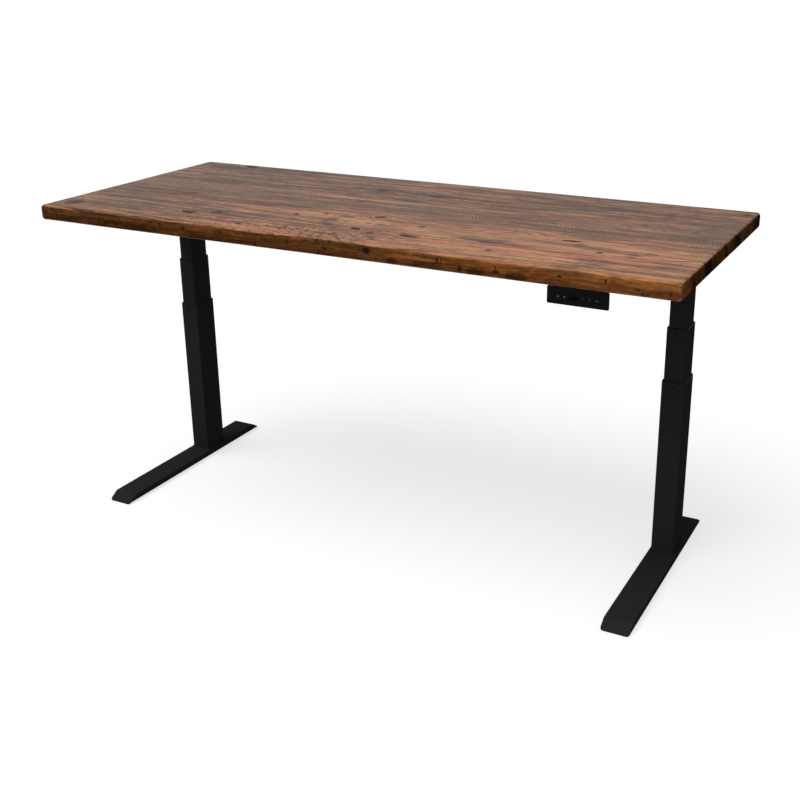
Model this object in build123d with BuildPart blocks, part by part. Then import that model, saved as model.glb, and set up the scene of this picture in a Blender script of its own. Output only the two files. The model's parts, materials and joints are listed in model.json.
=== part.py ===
from build123d import *
from math import atan, cos
import os

# Height adjustable standing desk, in millimetres.
# The origin is on the floor under the middle of the desktop. +X is to the right of the person who
# sits at the desk, +Y points away from that person and +Z points up.

# ---------------------------------------------------------------- driving dimensions
# Desktop, glued up from boards that run along X
desktop_length = 1828.8
desktop_depth = 762.0
desktop_thickness = 43.0
desktop_corner = 12.0
desktop_roundover = 10.0
board_widths = [91.0, 48.0, 124.0, 63.0, 145.0, 75.0, 123.0]
narrowest_board = 30.0
rear_patch_length = 157.0

# Columns
column_spread = 1580.8
column_y = 110.0
outer_width = 61.5
outer_depth = 87.5
tube_corner = 5.0
tube_wall = 1.6
stage_gap_x = 2.15
stage_gap_y = 1.4
slide_clearance = 0.3
outer_tube_length = 505.4
middle_exposed = 145.5
inner_exposed = 144.5
middle_tube_length = 495.5
inner_tube_length = 473.0
collar_height = 25.0
collar_lip = 3.0
collar_chamfer = 1.8
collar_screw_drop = 16.5
collar_screw_radius = 2.0
collar_screw_head_radius = 3.5
collar_screw_head = 1.1
fit_gap = 0.05

# Feet
foot_width = 76.0
foot_front = 439.5
foot_rear = 228.5
foot_wall = 3.0
foot_flange_z = 5.0
foot_depth = 17.6
foot_ramp = 29.5
foot_tip_z = 0.6
foot_tip_corner = 5.0
foot_bend = 2.5
base_plate = 8.0
foot_bolt_spacing_x = 34.0
foot_bolt_spacing_y = 58.0
foot_bolt_radius = 3.9
foot_bolt_head_radius = 7.0
foot_bolt_head = 4.4
bolt_clearance = 0.3

# Levelling glides
glide_inset = 62.0
glide_pad_radius = 19.0
glide_pad_edge = 1.0
glide_stud_radius = 4.0
glide_stud_length = 14.0
glide_boss_radius = 9.0
glide_boss_gap = 1.0
thread_clearance = 0.1

# Lift screws: a fixed screw in the foot, a hollow screw that climbs it, and a hexagonal drive rod
fixed_screw_radius = 9.0
fixed_screw_bore = 6.5
fixed_screw_length = 374.4
hollow_screw_radius = 13.0
hollow_screw_bore = 10.3
hollow_screw_length = 403.0
hollow_nut_length = 30.0
hollow_bush_length = 20.0
thrust_collar_radius = 17.0
thrust_collar = 5.7
drive_rod_flats = 10.0
drive_rod_clearance = 0.2
drive_rod_length = 458.0
journal_radius = 7.0
journal_length = 48.0
journal_play = 2.0
end_plate = 12.0
end_flange = 6.0
nut_plate = 20.0

# Head of the column: gearbox and motor under a channel-shaped arm
gearbox_depth = 96.0
gearbox_height = 58.5
gearbox_corner = 6.0
motor_radius = 27.0
motor_length = 118.0
motor_drop = 31.5
motor_edge = 4.0
motor_boss_radius = 19.0
motor_boss = 4.0
arm_width = 84.0
arm_front = 350.0
arm_rear = 220.0
arm_drop = 24.0
arm_tip = 12.0
arm_taper = 150.0
arm_wall = 2.5
pad_thickness = 3.0
pad_length = 34.0
arm_screw_spacing = 60.0
arm_screw_places = [-325.0, -150.0, 195.0]
arm_bolt_spacing = 60.0
arm_bolt_drop = 15.0

# Wood screws
wood_screw_radius = 2.5
wood_screw_depth = 22.0
wood_screw_head_radius = 5.0
wood_screw_head = 3.4

# Frame bolts
frame_bolt_radius = 3.0
frame_bolt_head_radius = 5.5
frame_bolt_head = 3.2
frame_bolt_grip = 12.0

# Crossbar: two rails that sleeve over the bars of the frame ends
rail_length = 840.0
rail_height = 36.0
rail_depth = 20.0
rail_wall = 1.6
rail_spacing = 52.0
rail_clearance = 0.2
frame_bar_wall = 2.0
frame_bar_overlap = 90.0
end_plate_thickness = 4.0
end_plate_bolt_spacing_y = 80.0
end_plate_bolt_spacing_z = 20.0
rail_bolt_inset = 30.0

# Control box under the desktop
control_x = -170.0
control_y = 245.0
control_length = 250.0
control_depth = 96.0
control_height = 40.0
control_wall = 2.0
control_corner = 5.0
control_ear = 16.0
control_ear_width = 24.0
control_ear_thickness = 3.0
control_board_inset = 6.0
control_board_drop = 24.0
board_thickness = 1.6
standoff_radius = 3.5
chip_height = 9.0
socket_width = 14.0
socket_height = 12.0
socket_length = 13.0
socket_wall = 1.5
socket_pitch = 26.0
socket_count = 3
inlet_width = 30.0
inlet_height = 23.0
inlet_length = 20.0
inlet_wall = 2.2
inlet_pin_width = 2.0
inlet_pin_length = 11.0
inlet_pin_pitch = 7.0

# Handset under the front edge
handset_from_end = 234.4
handset_width = 146.0
handset_height = 40.6
handset_setback = 5.0
handset_corner = 3.0
panel_thickness = 3.0
case_inset = 11.0
case_depth = 23.0
case_lift = 8.0
case_wall = 2.0
tongue_length = 38.0
tongue_thickness = 4.0
tongue_inset = 22.0
tongue_screw_inset = 16.0
key_row_z = 18.1
key_width = 12.2
key_height = 13.0
key_corner = 1.5
key_gap = 0.3
key_depth = 4.2
key_rim = 0.8
key_names = ["up_key", "down_key", "preset_1_key", "preset_2_key", "memory_key"]
key_places = [-46.5, -31.1, 12.4, 28.0, 45.1]
display_place = -10.9
display_width = 20.0
display_height = 12.0
handset_board_gap = 3.2
switch_height = 1.4
switch_size = 6.0
handset_board_height = 26.0

# ---------------------------------------------------------------- levels and shared sizes
foot_top = foot_flange_z + foot_depth
outer_top = foot_top + outer_tube_length
middle_top = outer_top + middle_exposed
gearbox_z = middle_top + inner_exposed
gearbox_top = gearbox_z + gearbox_height
arm_top = gearbox_top + arm_wall
underside = arm_top + pad_thickness
desktop_top = underside + desktop_thickness
middle_bottom = middle_top - middle_tube_length
inner_bottom = gearbox_z - inner_tube_length
base_plate_top = foot_top + base_plate

cavity_width = outer_width - 2 * tube_wall
cavity_depth = outer_depth - 2 * tube_wall
middle_width = cavity_width - 2 * stage_gap_x
middle_depth = cavity_depth - 2 * stage_gap_y
middle_cavity_width = middle_width - 2 * tube_wall
middle_cavity_depth = middle_depth - 2 * tube_wall
inner_width = middle_cavity_width - 2 * stage_gap_x
inner_depth = middle_cavity_depth - 2 * stage_gap_y
cavity_corner = tube_corner - tube_wall

column_x = {"left": -column_spread / 2, "right": column_spread / 2}
inward = {"left": 1, "right": -1}
front_edge = -desktop_depth / 2
handset_x = desktop_length / 2 - handset_from_end
rear_edge = desktop_depth / 2
gearbox_width = arm_width - 2 * arm_wall - 2 * slide_clearance

os.makedirs("parts", exist_ok=True)


def save(part, name):
    """Label one finished piece and write its STEP file."""
    part.label = name
    export_step(part, f"parts/{name}.step")


def group(solids, name):
    """Write several separate solids as one named node."""
    save(Compound(children=solids), name)


def rounded(width, depth, corner, mode=Mode.ADD):
    """A rounded rectangle, or a plain one where the corner has no radius left."""
    if corner > 0.05:
        RectangleRounded(width, depth, corner, mode=mode)
    else:
        Rectangle(width, depth, mode=mode)


def rounded_tube(plane, width, depth, wall, length):
    """A tube of rounded rectangular section that rises from a plane."""
    with BuildPart() as tube:
        with BuildSketch(plane):
            rounded(width, depth, tube_corner)
            rounded(width - 2 * wall, depth - 2 * wall, tube_corner - wall, Mode.SUBTRACT)
        extrude(amount=length)
    return tube.part


def headed_pin(plane, radius, length, head_radius, head):
    """A plain fastener: its head under the plane and its shank above it."""
    with BuildPart() as pin:
        with BuildSketch(plane):
            Circle(radius)
        extrude(amount=length)
        with BuildSketch(plane):
            Circle(head_radius)
        extrude(amount=-head)
        rim = pin.edges().filter_by(lambda e: e.geom_type == GeomType.CIRCLE
                                    and abs(e.radius - head_radius) < 0.01)
        far = plane.origin - plane.z_dir * head
        chamfer(rim.sort_by_distance(far)[0], head / 4)
    return pin.part


# ---------------------------------------------------------------- places of the fasteners
def arm_screw_points(side):
    """Where the wood screws pass through one arm."""
    return [(column_x[side] + sx * arm_screw_spacing / 2, column_y + place)
            for place in arm_screw_places for sx in (-1, 1)]


def control_screw_points():
    """Where the wood screws hold the control box's ears."""
    reach = control_length / 2 + control_ear / 2
    return [(control_x - reach, control_y), (control_x + reach, control_y)]


def handset_screw_points():
    """Where the wood screws hold the handset's tongue."""
    reach = handset_width / 2 - tongue_inset - tongue_screw_inset
    y = panel_back + case_depth + tongue_length / 2
    return [(handset_x - reach, y), (handset_x + reach, y)]


panel_front = front_edge + handset_setback
panel_back = panel_front + panel_thickness
handset_z = underside - handset_height
wood_screws_at = [(point, arm_top - arm_wall) for side in column_x for point in arm_screw_points(side)]
wood_screws_at += [(point, underside - control_ear_thickness) for point in control_screw_points()]
wood_screws_at += [(point, underside - tongue_thickness) for point in handset_screw_points()]


# ---------------------------------------------------------------- desktop
def make_desktop():
    """The slab with rounded edges, parted along its glue lines into boards."""
    with BuildPart() as slab:
        with BuildSketch(Plane.XY.offset(underside)):
            RectangleRounded(desktop_length, desktop_depth, desktop_corner)
        extrude(amount=desktop_thickness)
        rims = slab.faces().filter_by(Axis.Z)
        fillet(rims.edges(), desktop_roundover)
        for (x, y), z in wood_screws_at:
            with Locations((x, y, underside)):
                Cylinder(wood_screw_radius + fit_gap, 2 * wood_screw_depth,
                         align=(Align.CENTER, Align.CENTER, Align.CENTER), mode=Mode.SUBTRACT)
    seams = [front_edge]
    for width in board_widths:
        if seams[-1] + width < rear_edge - narrowest_board:
            seams.append(seams[-1] + width)
    seams.append(rear_edge)
    joint_x = desktop_length / 2 - rear_patch_length
    cells = [(-desktop_length / 2, desktop_length / 2, low, high)
             for low, high in zip(seams[:-2], seams[1:-1])]
    cells.append((-desktop_length / 2, joint_x, seams[-2], seams[-1]))
    cells.append((joint_x, desktop_length / 2, seams[-2], seams[-1]))
    boards = []
    for x_low, x_high, y_low, y_high in cells:
        with BuildPart() as board:
            with BuildSketch(Plane.XY.offset(underside)):
                with Locations(((x_low + x_high) / 2, (y_low + y_high) / 2)):
                    Rectangle(x_high - x_low, y_high - y_low)
            extrude(amount=desktop_thickness)
            add(slab.part, mode=Mode.INTERSECT)
        boards += board.part.solids()
    group(boards, "desktop")


def make_wood_screws():
    """Every pan-head screw that goes up into the desktop."""
    screws = []
    for (x, y), z in wood_screws_at:
        length = underside - z + wood_screw_depth
        screws.append(headed_pin(Plane(origin=(x, y, z)), wood_screw_radius, length - 1,
                                 wood_screw_head_radius, wood_screw_head))
    group(screws, "wood_screws")


# ---------------------------------------------------------------- arms and head of each column
def make_arm(side):
    """A folded steel channel, open downwards, that carries the desktop on one column."""
    x = column_x[side]
    front = column_y - arm_front
    rear = column_y + arm_rear
    with BuildPart() as arm:
        with BuildSketch(Plane.YZ.offset(x - arm_width / 2)):
            with BuildLine():
                Polyline((front, arm_top), (front, arm_top - arm_tip),
                         (front + arm_taper, arm_top - arm_drop), (rear - arm_taper / 2, arm_top - arm_drop),
                         (rear, arm_top - arm_tip), (rear, arm_top), close=True)
            make_face()
        extrude(amount=arm_width)
        fillet(arm.faces().sort_by(Axis.Z)[-1].edges().filter_by(Axis.Y), arm_wall)
        with BuildSketch(Plane.YZ.offset(x - arm_width / 2 + arm_wall)):
            with BuildLine():
                Polyline((front - 1, arm_top - arm_wall), (front - 1, arm_top - arm_drop - 1),
                         (rear + 1, arm_top - arm_drop - 1), (rear + 1, arm_top - arm_wall), close=True)
            make_face()
        extrude(amount=arm_width - 2 * arm_wall, mode=Mode.SUBTRACT)
        for px, py in arm_screw_points(side):
            with Locations((px, py, arm_top)):
                Cylinder(wood_screw_radius + bolt_clearance, 4 * arm_wall, mode=Mode.SUBTRACT)
        for sy in (-1, 1):
            with Locations((x, column_y + sy * arm_bolt_spacing / 2, arm_top - arm_bolt_drop)):
                Cylinder(frame_bolt_radius + bolt_clearance, arm_width + 2, rotation=(0, 90, 0),
                         mode=Mode.SUBTRACT)
    save(arm.part, f"{side}_arm")


def make_arm_pads():
    """Rubber strips between the arms and the desktop, one under each pair of wood screws."""
    pads = []
    for side in column_x:
        for place in arm_screw_places:
            with BuildPart() as pad:
                with BuildSketch(Plane(origin=(column_x[side], column_y + place, arm_top))):
                    RectangleRounded(arm_width - 2 * arm_wall, pad_length, arm_wall)
                    with GridLocations(arm_screw_spacing, 0, 2, 1):
                        Circle(wood_screw_radius + bolt_clearance, mode=Mode.SUBTRACT)
                extrude(amount=pad_thickness)
            pads.append(pad.part)
    group(pads, "arm_pads")


def side_bolt_planes(side):
    """Planes of the bolts through the arm's two flanges, each pointing into the gearbox."""
    planes = []
    for direction in (-1, 1):
        for sy in (-1, 1):
            origin = (column_x[side] - direction * arm_width / 2,
                      column_y + sy * arm_bolt_spacing / 2, arm_top - arm_bolt_drop)
            planes.append(Plane(origin=origin, x_dir=(0, 1, 0), z_dir=(direction, 0, 0)))
    return planes


def end_plate_planes(side):
    """Planes of the bolts that hold the frame end, each pointing into the gearbox."""
    x = column_x[side] + inward[side] * (gearbox_width / 2 + end_plate_thickness)
    z = gearbox_z + rail_height / 2
    return [Plane(origin=(x, column_y + sy * end_plate_bolt_spacing_y / 2,
                          z + sz * end_plate_bolt_spacing_z / 2),
                  x_dir=(0, 1, 0), z_dir=(-inward[side], 0, 0))
            for sy in (-1, 1) for sz in (-1, 1)]


def rail_bolt_planes():
    """Planes of the bolts through the outer faces of the rails, near their ends."""
    planes = []
    for sx in (-1, 1):
        for sy in (-1, 1):
            origin = (sx * (rail_length / 2 - rail_bolt_inset),
                      column_y + sy * (rail_spacing + rail_depth) / 2, gearbox_z + rail_height / 2)
            planes.append(Plane(origin=origin, x_dir=(1, 0, 0), z_dir=(0, -sy, 0)))
    return planes


def make_frame_bolts():
    """The bolts of the arms, the frame ends and the rails."""
    bolts = []
    for side in column_x:
        for plane in side_bolt_planes(side) + end_plate_planes(side):
            bolts.append(headed_pin(plane, frame_bolt_radius, frame_bolt_grip,
                                    frame_bolt_head_radius, frame_bolt_head))
    for plane in rail_bolt_planes():
        bolts.append(headed_pin(plane, frame_bolt_radius, rail_wall + rail_clearance + frame_bar_wall,
                                frame_bolt_head_radius, frame_bolt_head))
    group(bolts, "frame_bolts")


def make_gearbox(side):
    """The cast gearbox on top of the inner tube, with its bores for rod, motor and bolts."""
    plane = Plane(origin=(column_x[side], column_y, gearbox_z))
    with BuildPart() as gearbox:
        with BuildSketch(plane):
            RectangleRounded(gearbox_width, gearbox_depth, gearbox_corner)
        extrude(amount=gearbox_height)
        with BuildSketch(plane):
            Circle(journal_radius + thread_clearance)
        extrude(amount=journal_length + journal_play, mode=Mode.SUBTRACT)
        for bolt_plane in side_bolt_planes(side):
            with BuildSketch(bolt_plane):
                Circle(frame_bolt_radius + fit_gap)
            extrude(amount=frame_bolt_grip + 1, mode=Mode.SUBTRACT)
        for bolt_plane in end_plate_planes(side):
            with BuildSketch(bolt_plane):
                Circle(frame_bolt_radius + fit_gap)
            extrude(amount=frame_bolt_grip + 1, mode=Mode.SUBTRACT)
    save(gearbox.part, f"{side}_gearbox")


def make_motor(side):
    """The motor can behind the gearbox, lying along Y, with its round end boss."""
    z = gearbox_top - motor_drop
    start = Plane(origin=(column_x[side], column_y + gearbox_depth / 2, z), x_dir=(1, 0, 0),
                  z_dir=(0, 1, 0))
    with BuildPart() as motor:
        with BuildSketch(start):
            Circle(motor_radius)
        extrude(amount=motor_length)
        fillet(motor.edges().filter_by(GeomType.CIRCLE).sort_by(Axis.Y)[-1], motor_edge)
        with BuildSketch(start.offset(motor_length)):
            Circle(motor_boss_radius)
        extrude(amount=motor_boss)
    save(motor.part, f"{side}_motor")


# ---------------------------------------------------------------- crossbar
def make_rails():
    """Two rectangular tubes that join the two frame ends."""
    rails = []
    for sy in (-1, 1):
        start = Plane(origin=(-rail_length / 2, column_y + sy * rail_spacing / 2,
                              gearbox_z + rail_height / 2), x_dir=(0, 1, 0), z_dir=(1, 0, 0))
        with BuildPart() as rail:
            with BuildSketch(start):
                RectangleRounded(rail_depth, rail_height, rail_wall)
                Rectangle(rail_depth - 2 * rail_wall, rail_height - 2 * rail_wall, mode=Mode.SUBTRACT)
            extrude(amount=rail_length)
            for plane in rail_bolt_planes():
                if plane.z_dir.Y * sy < 0:
                    with BuildSketch(plane):
                        Circle(frame_bolt_radius + fit_gap)
                    extrude(amount=rail_wall + 0.1, mode=Mode.SUBTRACT)
        rails.append(rail.part)
    group(rails, "crossbar_rails")


def make_frame_end(side):
    """A plate with two hollow bars that slide into the rails, welded into one piece."""
    sign = inward[side]
    plate_x = column_x[side] + sign * gearbox_width / 2
    bar_start = plate_x + sign * end_plate_thickness
    bar_end = -sign * (rail_length / 2 - frame_bar_overlap)
    z = gearbox_z + rail_height / 2
    outward = Plane(origin=(plate_x, column_y, z), x_dir=(0, 1, 0), z_dir=(sign, 0, 0))
    bar_depth = rail_depth - 2 * rail_wall - 2 * rail_clearance
    bar_height = rail_height - 2 * rail_wall - 2 * rail_clearance
    with BuildPart() as frame_end:
        with BuildSketch(outward):
            RectangleRounded(gearbox_depth, rail_height, arm_wall)
        extrude(amount=end_plate_thickness)
        with BuildSketch(outward.offset(end_plate_thickness)):
            with GridLocations(rail_spacing, 0, 2, 1):
                Rectangle(bar_depth, bar_height)
                Rectangle(bar_depth - 2 * frame_bar_wall, bar_height - 2 * frame_bar_wall,
                          mode=Mode.SUBTRACT)
        extrude(amount=abs(bar_end - bar_start))
        for plane in end_plate_planes(side):
            with BuildSketch(plane):
                Circle(frame_bolt_radius + fit_gap)
            extrude(amount=end_plate_thickness, mode=Mode.SUBTRACT)
        for plane in rail_bolt_planes():
            if plane.origin.X * column_x[side] > 0:
                with BuildSketch(plane):
                    Circle(frame_bolt_radius + fit_gap)
                extrude(amount=rail_wall + rail_clearance + frame_bar_wall + 0.2, mode=Mode.SUBTRACT)
    save(frame_end.part, f"{side}_frame_end")


# ---------------------------------------------------------------- column tubes and guides
def collar_screw_plane(side, top, depth):
    """Plane of a collar screw on the front face of a tube, pointing into the column."""
    return Plane(origin=(column_x[side], column_y - depth / 2, top - collar_screw_drop),
                 x_dir=(1, 0, 0), z_dir=(0, 1, 0))


def make_stage_tube(side, name, bottom, top, width, depth):
    """A column tube under its collar, recessed in front for the collar's flush screw."""
    plane = Plane(origin=(column_x[side], column_y, bottom))
    with BuildPart() as tube:
        add(rounded_tube(plane, width, depth, tube_wall, top - collar_lip - bottom))
        screw = collar_screw_plane(side, top, depth)
        with BuildSketch(screw):
            Circle(collar_screw_head_radius + fit_gap)
        extrude(amount=collar_screw_head, mode=Mode.SUBTRACT)
        with BuildSketch(screw):
            Circle(collar_screw_radius + fit_gap)
        extrude(amount=tube_wall + 0.1, mode=Mode.SUBTRACT)
        if name == "outer_tube":
            with BuildSketch(plane):
                rounded(cavity_width, cavity_depth, cavity_corner)
            extrude(amount=base_plate)
            with BuildSketch(plane):
                with GridLocations(foot_bolt_spacing_x, foot_bolt_spacing_y, 2, 2):
                    Circle(foot_bolt_radius + fit_gap)
            extrude(amount=base_plate, mode=Mode.SUBTRACT)
    save(tube.part, f"{side}_{name}")


def make_collar(side, name, top, width, depth):
    """The guide at the mouth of a tube: a skirt inside it and a chamfered lip on its end."""
    skirt_plane = Plane(origin=(column_x[side], column_y, top - collar_height))
    bore_width = width - 2 * tube_wall - 2 * stage_gap_x + 2 * slide_clearance
    bore_depth = depth - 2 * tube_wall - 2 * stage_gap_y + 2 * slide_clearance
    with BuildPart() as collar:
        with BuildSketch(skirt_plane):
            rounded(width - 2 * tube_wall - 2 * fit_gap, depth - 2 * tube_wall - 2 * fit_gap, cavity_corner)
        extrude(amount=collar_height - collar_lip)
        with BuildSketch(skirt_plane.offset(collar_height - collar_lip)):
            rounded(width, depth, tube_corner)
        extrude(amount=collar_lip)
        chamfer(collar.faces().sort_by(Axis.Z)[-1].edges(), collar_chamfer)
        with BuildSketch(skirt_plane):
            rounded(bore_width, bore_depth, cavity_corner)
        extrude(amount=collar_height, mode=Mode.SUBTRACT)
        with BuildSketch(collar_screw_plane(side, top, depth)):
            Circle(collar_screw_radius + fit_gap)
        extrude(amount=tube_wall + stage_gap_y, mode=Mode.SUBTRACT)
    save(collar.part, f"{side}_{name}")


def make_collar_screw(side, name, top, depth):
    """The flush screw that keeps a collar in its tube."""
    plane = collar_screw_plane(side, top, depth).offset(collar_screw_head)
    length = tube_wall - collar_screw_head + stage_gap_y - slide_clearance - fit_gap
    with BuildPart() as screw:
        with BuildSketch(plane):
            Circle(collar_screw_radius)
        extrude(amount=length)
        with BuildSketch(plane):
            Circle(collar_screw_head_radius)
        extrude(amount=-collar_screw_head)
        with BuildSketch(plane.offset(-collar_screw_head)):
            RegularPolygon(collar_screw_radius * 0.6, 6)
        extrude(amount=collar_screw_head * 0.6, mode=Mode.SUBTRACT)
    save(screw.part, f"{side}_{name}")


def make_end_plate(side):
    """The bearing plate in the foot of the middle tube, flanged to guide it in the outer tube."""
    plane = Plane(origin=(column_x[side], column_y, middle_bottom))
    with BuildPart() as plate:
        with BuildSketch(plane):
            rounded(middle_cavity_width, middle_cavity_depth, cavity_corner)
        extrude(amount=end_plate)
        with BuildSketch(plane):
            rounded(cavity_width - 2 * slide_clearance, cavity_depth - 2 * slide_clearance, tube_corner)
        extrude(amount=-end_flange)
        with BuildSketch(plane.offset(-end_flange)):
            Circle(hollow_screw_radius + thread_clearance)
        extrude(amount=end_flange + end_plate, mode=Mode.SUBTRACT)
        with BuildSketch(plane):
            Circle(thrust_collar_radius + slide_clearance)
        extrude(amount=-end_flange, mode=Mode.SUBTRACT)
    save(plate.part, f"{side}_middle_end_plate")


def make_inner_nut(side):
    """The nut block in the foot of the inner tube, flanged to guide it in the middle tube."""
    plane = Plane(origin=(column_x[side], column_y, inner_bottom))
    with BuildPart() as nut:
        with BuildSketch(plane):
            rounded(inner_width - 2 * tube_wall, inner_depth - 2 * tube_wall, cavity_corner)
        extrude(amount=nut_plate)
        with BuildSketch(plane):
            rounded(middle_cavity_width - 2 * slide_clearance,
                    middle_cavity_depth - 2 * slide_clearance, tube_corner)
        extrude(amount=-end_flange)
        with BuildSketch(plane.offset(-end_flange)):
            Circle(hollow_screw_radius + thread_clearance)
        extrude(amount=end_flange + nut_plate, mode=Mode.SUBTRACT)
    save(nut.part, f"{side}_inner_nut")


# ---------------------------------------------------------------- lift screws
def make_fixed_screw(side):
    """The hollow threaded post that stands on the base plate."""
    with BuildPart() as screw:
        with BuildSketch(Plane(origin=(column_x[side], column_y, base_plate_top))):
            Circle(fixed_screw_radius)
            Circle(fixed_screw_bore, mode=Mode.SUBTRACT)
        extrude(amount=fixed_screw_length)
        chamfer(screw.edges().group_by(Axis.Z)[-1].sort_by(SortBy.LENGTH)[-1], 1)
    save(screw.part, f"{side}_fixed_screw")


def make_hollow_screw(side):
    """The turning screw: thrust collars and nut at its foot, hexagonal bush at its head."""
    foot = Plane(origin=(column_x[side], column_y, middle_bottom - end_flange))
    plate_top = foot.offset(end_flange + end_plate + slide_clearance)
    with BuildPart() as screw:
        with BuildSketch(foot):
            Circle(hollow_screw_radius)
        extrude(amount=hollow_screw_length)
        with BuildSketch(foot):
            Circle(thrust_collar_radius)
        extrude(amount=end_flange - slide_clearance)
        with BuildSketch(plate_top):
            Circle(thrust_collar_radius)
        extrude(amount=thrust_collar)
        with BuildSketch(foot):
            Circle(fixed_screw_radius + thread_clearance)
        extrude(amount=hollow_nut_length, mode=Mode.SUBTRACT)
        with BuildSketch(foot.offset(hollow_nut_length)):
            Circle(hollow_screw_bore)
        extrude(amount=hollow_screw_length - hollow_nut_length - hollow_bush_length, mode=Mode.SUBTRACT)
        with BuildSketch(foot.offset(hollow_screw_length - hollow_bush_length)):
            RegularPolygon(drive_rod_flats / 2 + drive_rod_clearance, 6, major_radius=False)
        extrude(amount=hollow_bush_length, mode=Mode.SUBTRACT)
    save(screw.part, f"{side}_hollow_screw")


def make_drive_rod(side):
    """The hexagonal rod that hangs from the gearbox and turns the hollow screw."""
    with BuildPart() as rod:
        with BuildSketch(Plane(origin=(column_x[side], column_y, gearbox_z))):
            Circle(journal_radius)
        extrude(amount=journal_length)
        with BuildSketch(Plane(origin=(column_x[side], column_y, gearbox_z))):
            RegularPolygon(drive_rod_flats / 2, 6, major_radius=False)
        extrude(amount=-drive_rod_length)
    save(rod.part, f"{side}_drive_rod")


# ---------------------------------------------------------------- feet
def make_foot(side):
    """A folded steel foot: a plate with two flanges, bent down to a thin tip at both ends."""
    x = column_x[side]
    front = column_y - foot_front
    rear = column_y + foot_rear
    tip = foot_tip_z + foot_wall
    slope = (foot_top - tip) / foot_ramp
    drop = foot_wall / cos(atan(slope))
    hollow_start = (drop - tip - 1) / slope
    hollow_top = (foot_top - foot_wall - tip + drop) / slope
    flange_start = (foot_flange_z - tip + drop) / slope
    with BuildPart() as foot:
        with BuildSketch(Plane.YZ.offset(x - foot_width / 2)):
            with BuildLine():
                Polyline((front, foot_tip_z), (front, tip), (front + foot_ramp, foot_top),
                         (rear - foot_ramp, foot_top), (rear, tip), (rear, foot_tip_z), close=True)
            make_face()
        extrude(amount=foot_width)
        tips = foot.edges().filter_by(Axis.Z)
        fillet(tips, foot_tip_corner)
        crest = foot.faces().sort_by(Axis.Z)[-1]
        fillet(crest.edges().filter_by(Axis.Y), foot_bend)
        with BuildSketch(Plane.YZ.offset(x - foot_width / 2 + foot_wall)):
            with BuildLine():
                Polyline((front + hollow_start, -1), (front + hollow_top, foot_top - foot_wall),
                         (rear - hollow_top, foot_top - foot_wall), (rear - hollow_start, -1), close=True)
            make_face()
        extrude(amount=foot_width - 2 * foot_wall, mode=Mode.SUBTRACT)
        with BuildSketch(Plane.YZ.offset(x - foot_width / 2 - 1)):
            with BuildLine():
                Polyline((front + flange_start, -1), (front + flange_start, foot_flange_z),
                         (rear - flange_start, foot_flange_z), (rear - flange_start, -1), close=True)
            make_face()
        extrude(amount=foot_width + 2, mode=Mode.SUBTRACT)
        for y in (front + glide_inset, rear - glide_inset):
            with BuildSketch(Plane(origin=(x, y, foot_flange_z + glide_boss_gap))):
                Circle(glide_boss_radius)
            extrude(amount=foot_depth - foot_wall - glide_boss_gap)
            with BuildSketch(Plane(origin=(x, y, foot_flange_z))):
                Circle(glide_stud_radius + thread_clearance)
            extrude(amount=foot_depth - foot_wall, mode=Mode.SUBTRACT)
        with BuildSketch(Plane(origin=(x, column_y, foot_top))):
            with GridLocations(foot_bolt_spacing_x, foot_bolt_spacing_y, 2, 2):
                Circle(foot_bolt_radius + bolt_clearance)
        extrude(amount=-foot_wall, mode=Mode.SUBTRACT)
    save(foot.part, f"{side}_foot")


def make_foot_bolts(side):
    """Bolts that go up through the foot into the column's base plate."""
    bolts = []
    for sx in (-1, 1):
        for sy in (-1, 1):
            plane = Plane(origin=(column_x[side] + sx * foot_bolt_spacing_x / 2,
                                  column_y + sy * foot_bolt_spacing_y / 2, foot_top - foot_wall))
            bolts.append(headed_pin(plane, foot_bolt_radius, foot_wall + base_plate,
                                    foot_bolt_head_radius, foot_bolt_head))
    group(bolts, f"{side}_foot_bolts")


def make_glide(side, end, y):
    """A levelling glide: a rubber-shod pad on a stud that screws up into the foot."""
    with BuildPart() as glide:
        with BuildSketch(Plane(origin=(column_x[side], y, 0))):
            Circle(glide_pad_radius)
        extrude(amount=foot_flange_z)
        chamfer(glide.edges().filter_by(GeomType.CIRCLE), glide_pad_edge)
        with BuildSketch(Plane(origin=(column_x[side], y, foot_flange_z))):
            Circle(glide_stud_radius)
        extrude(amount=glide_stud_length)
    save(glide.part, f"{side}_{end}_glide")


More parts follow.
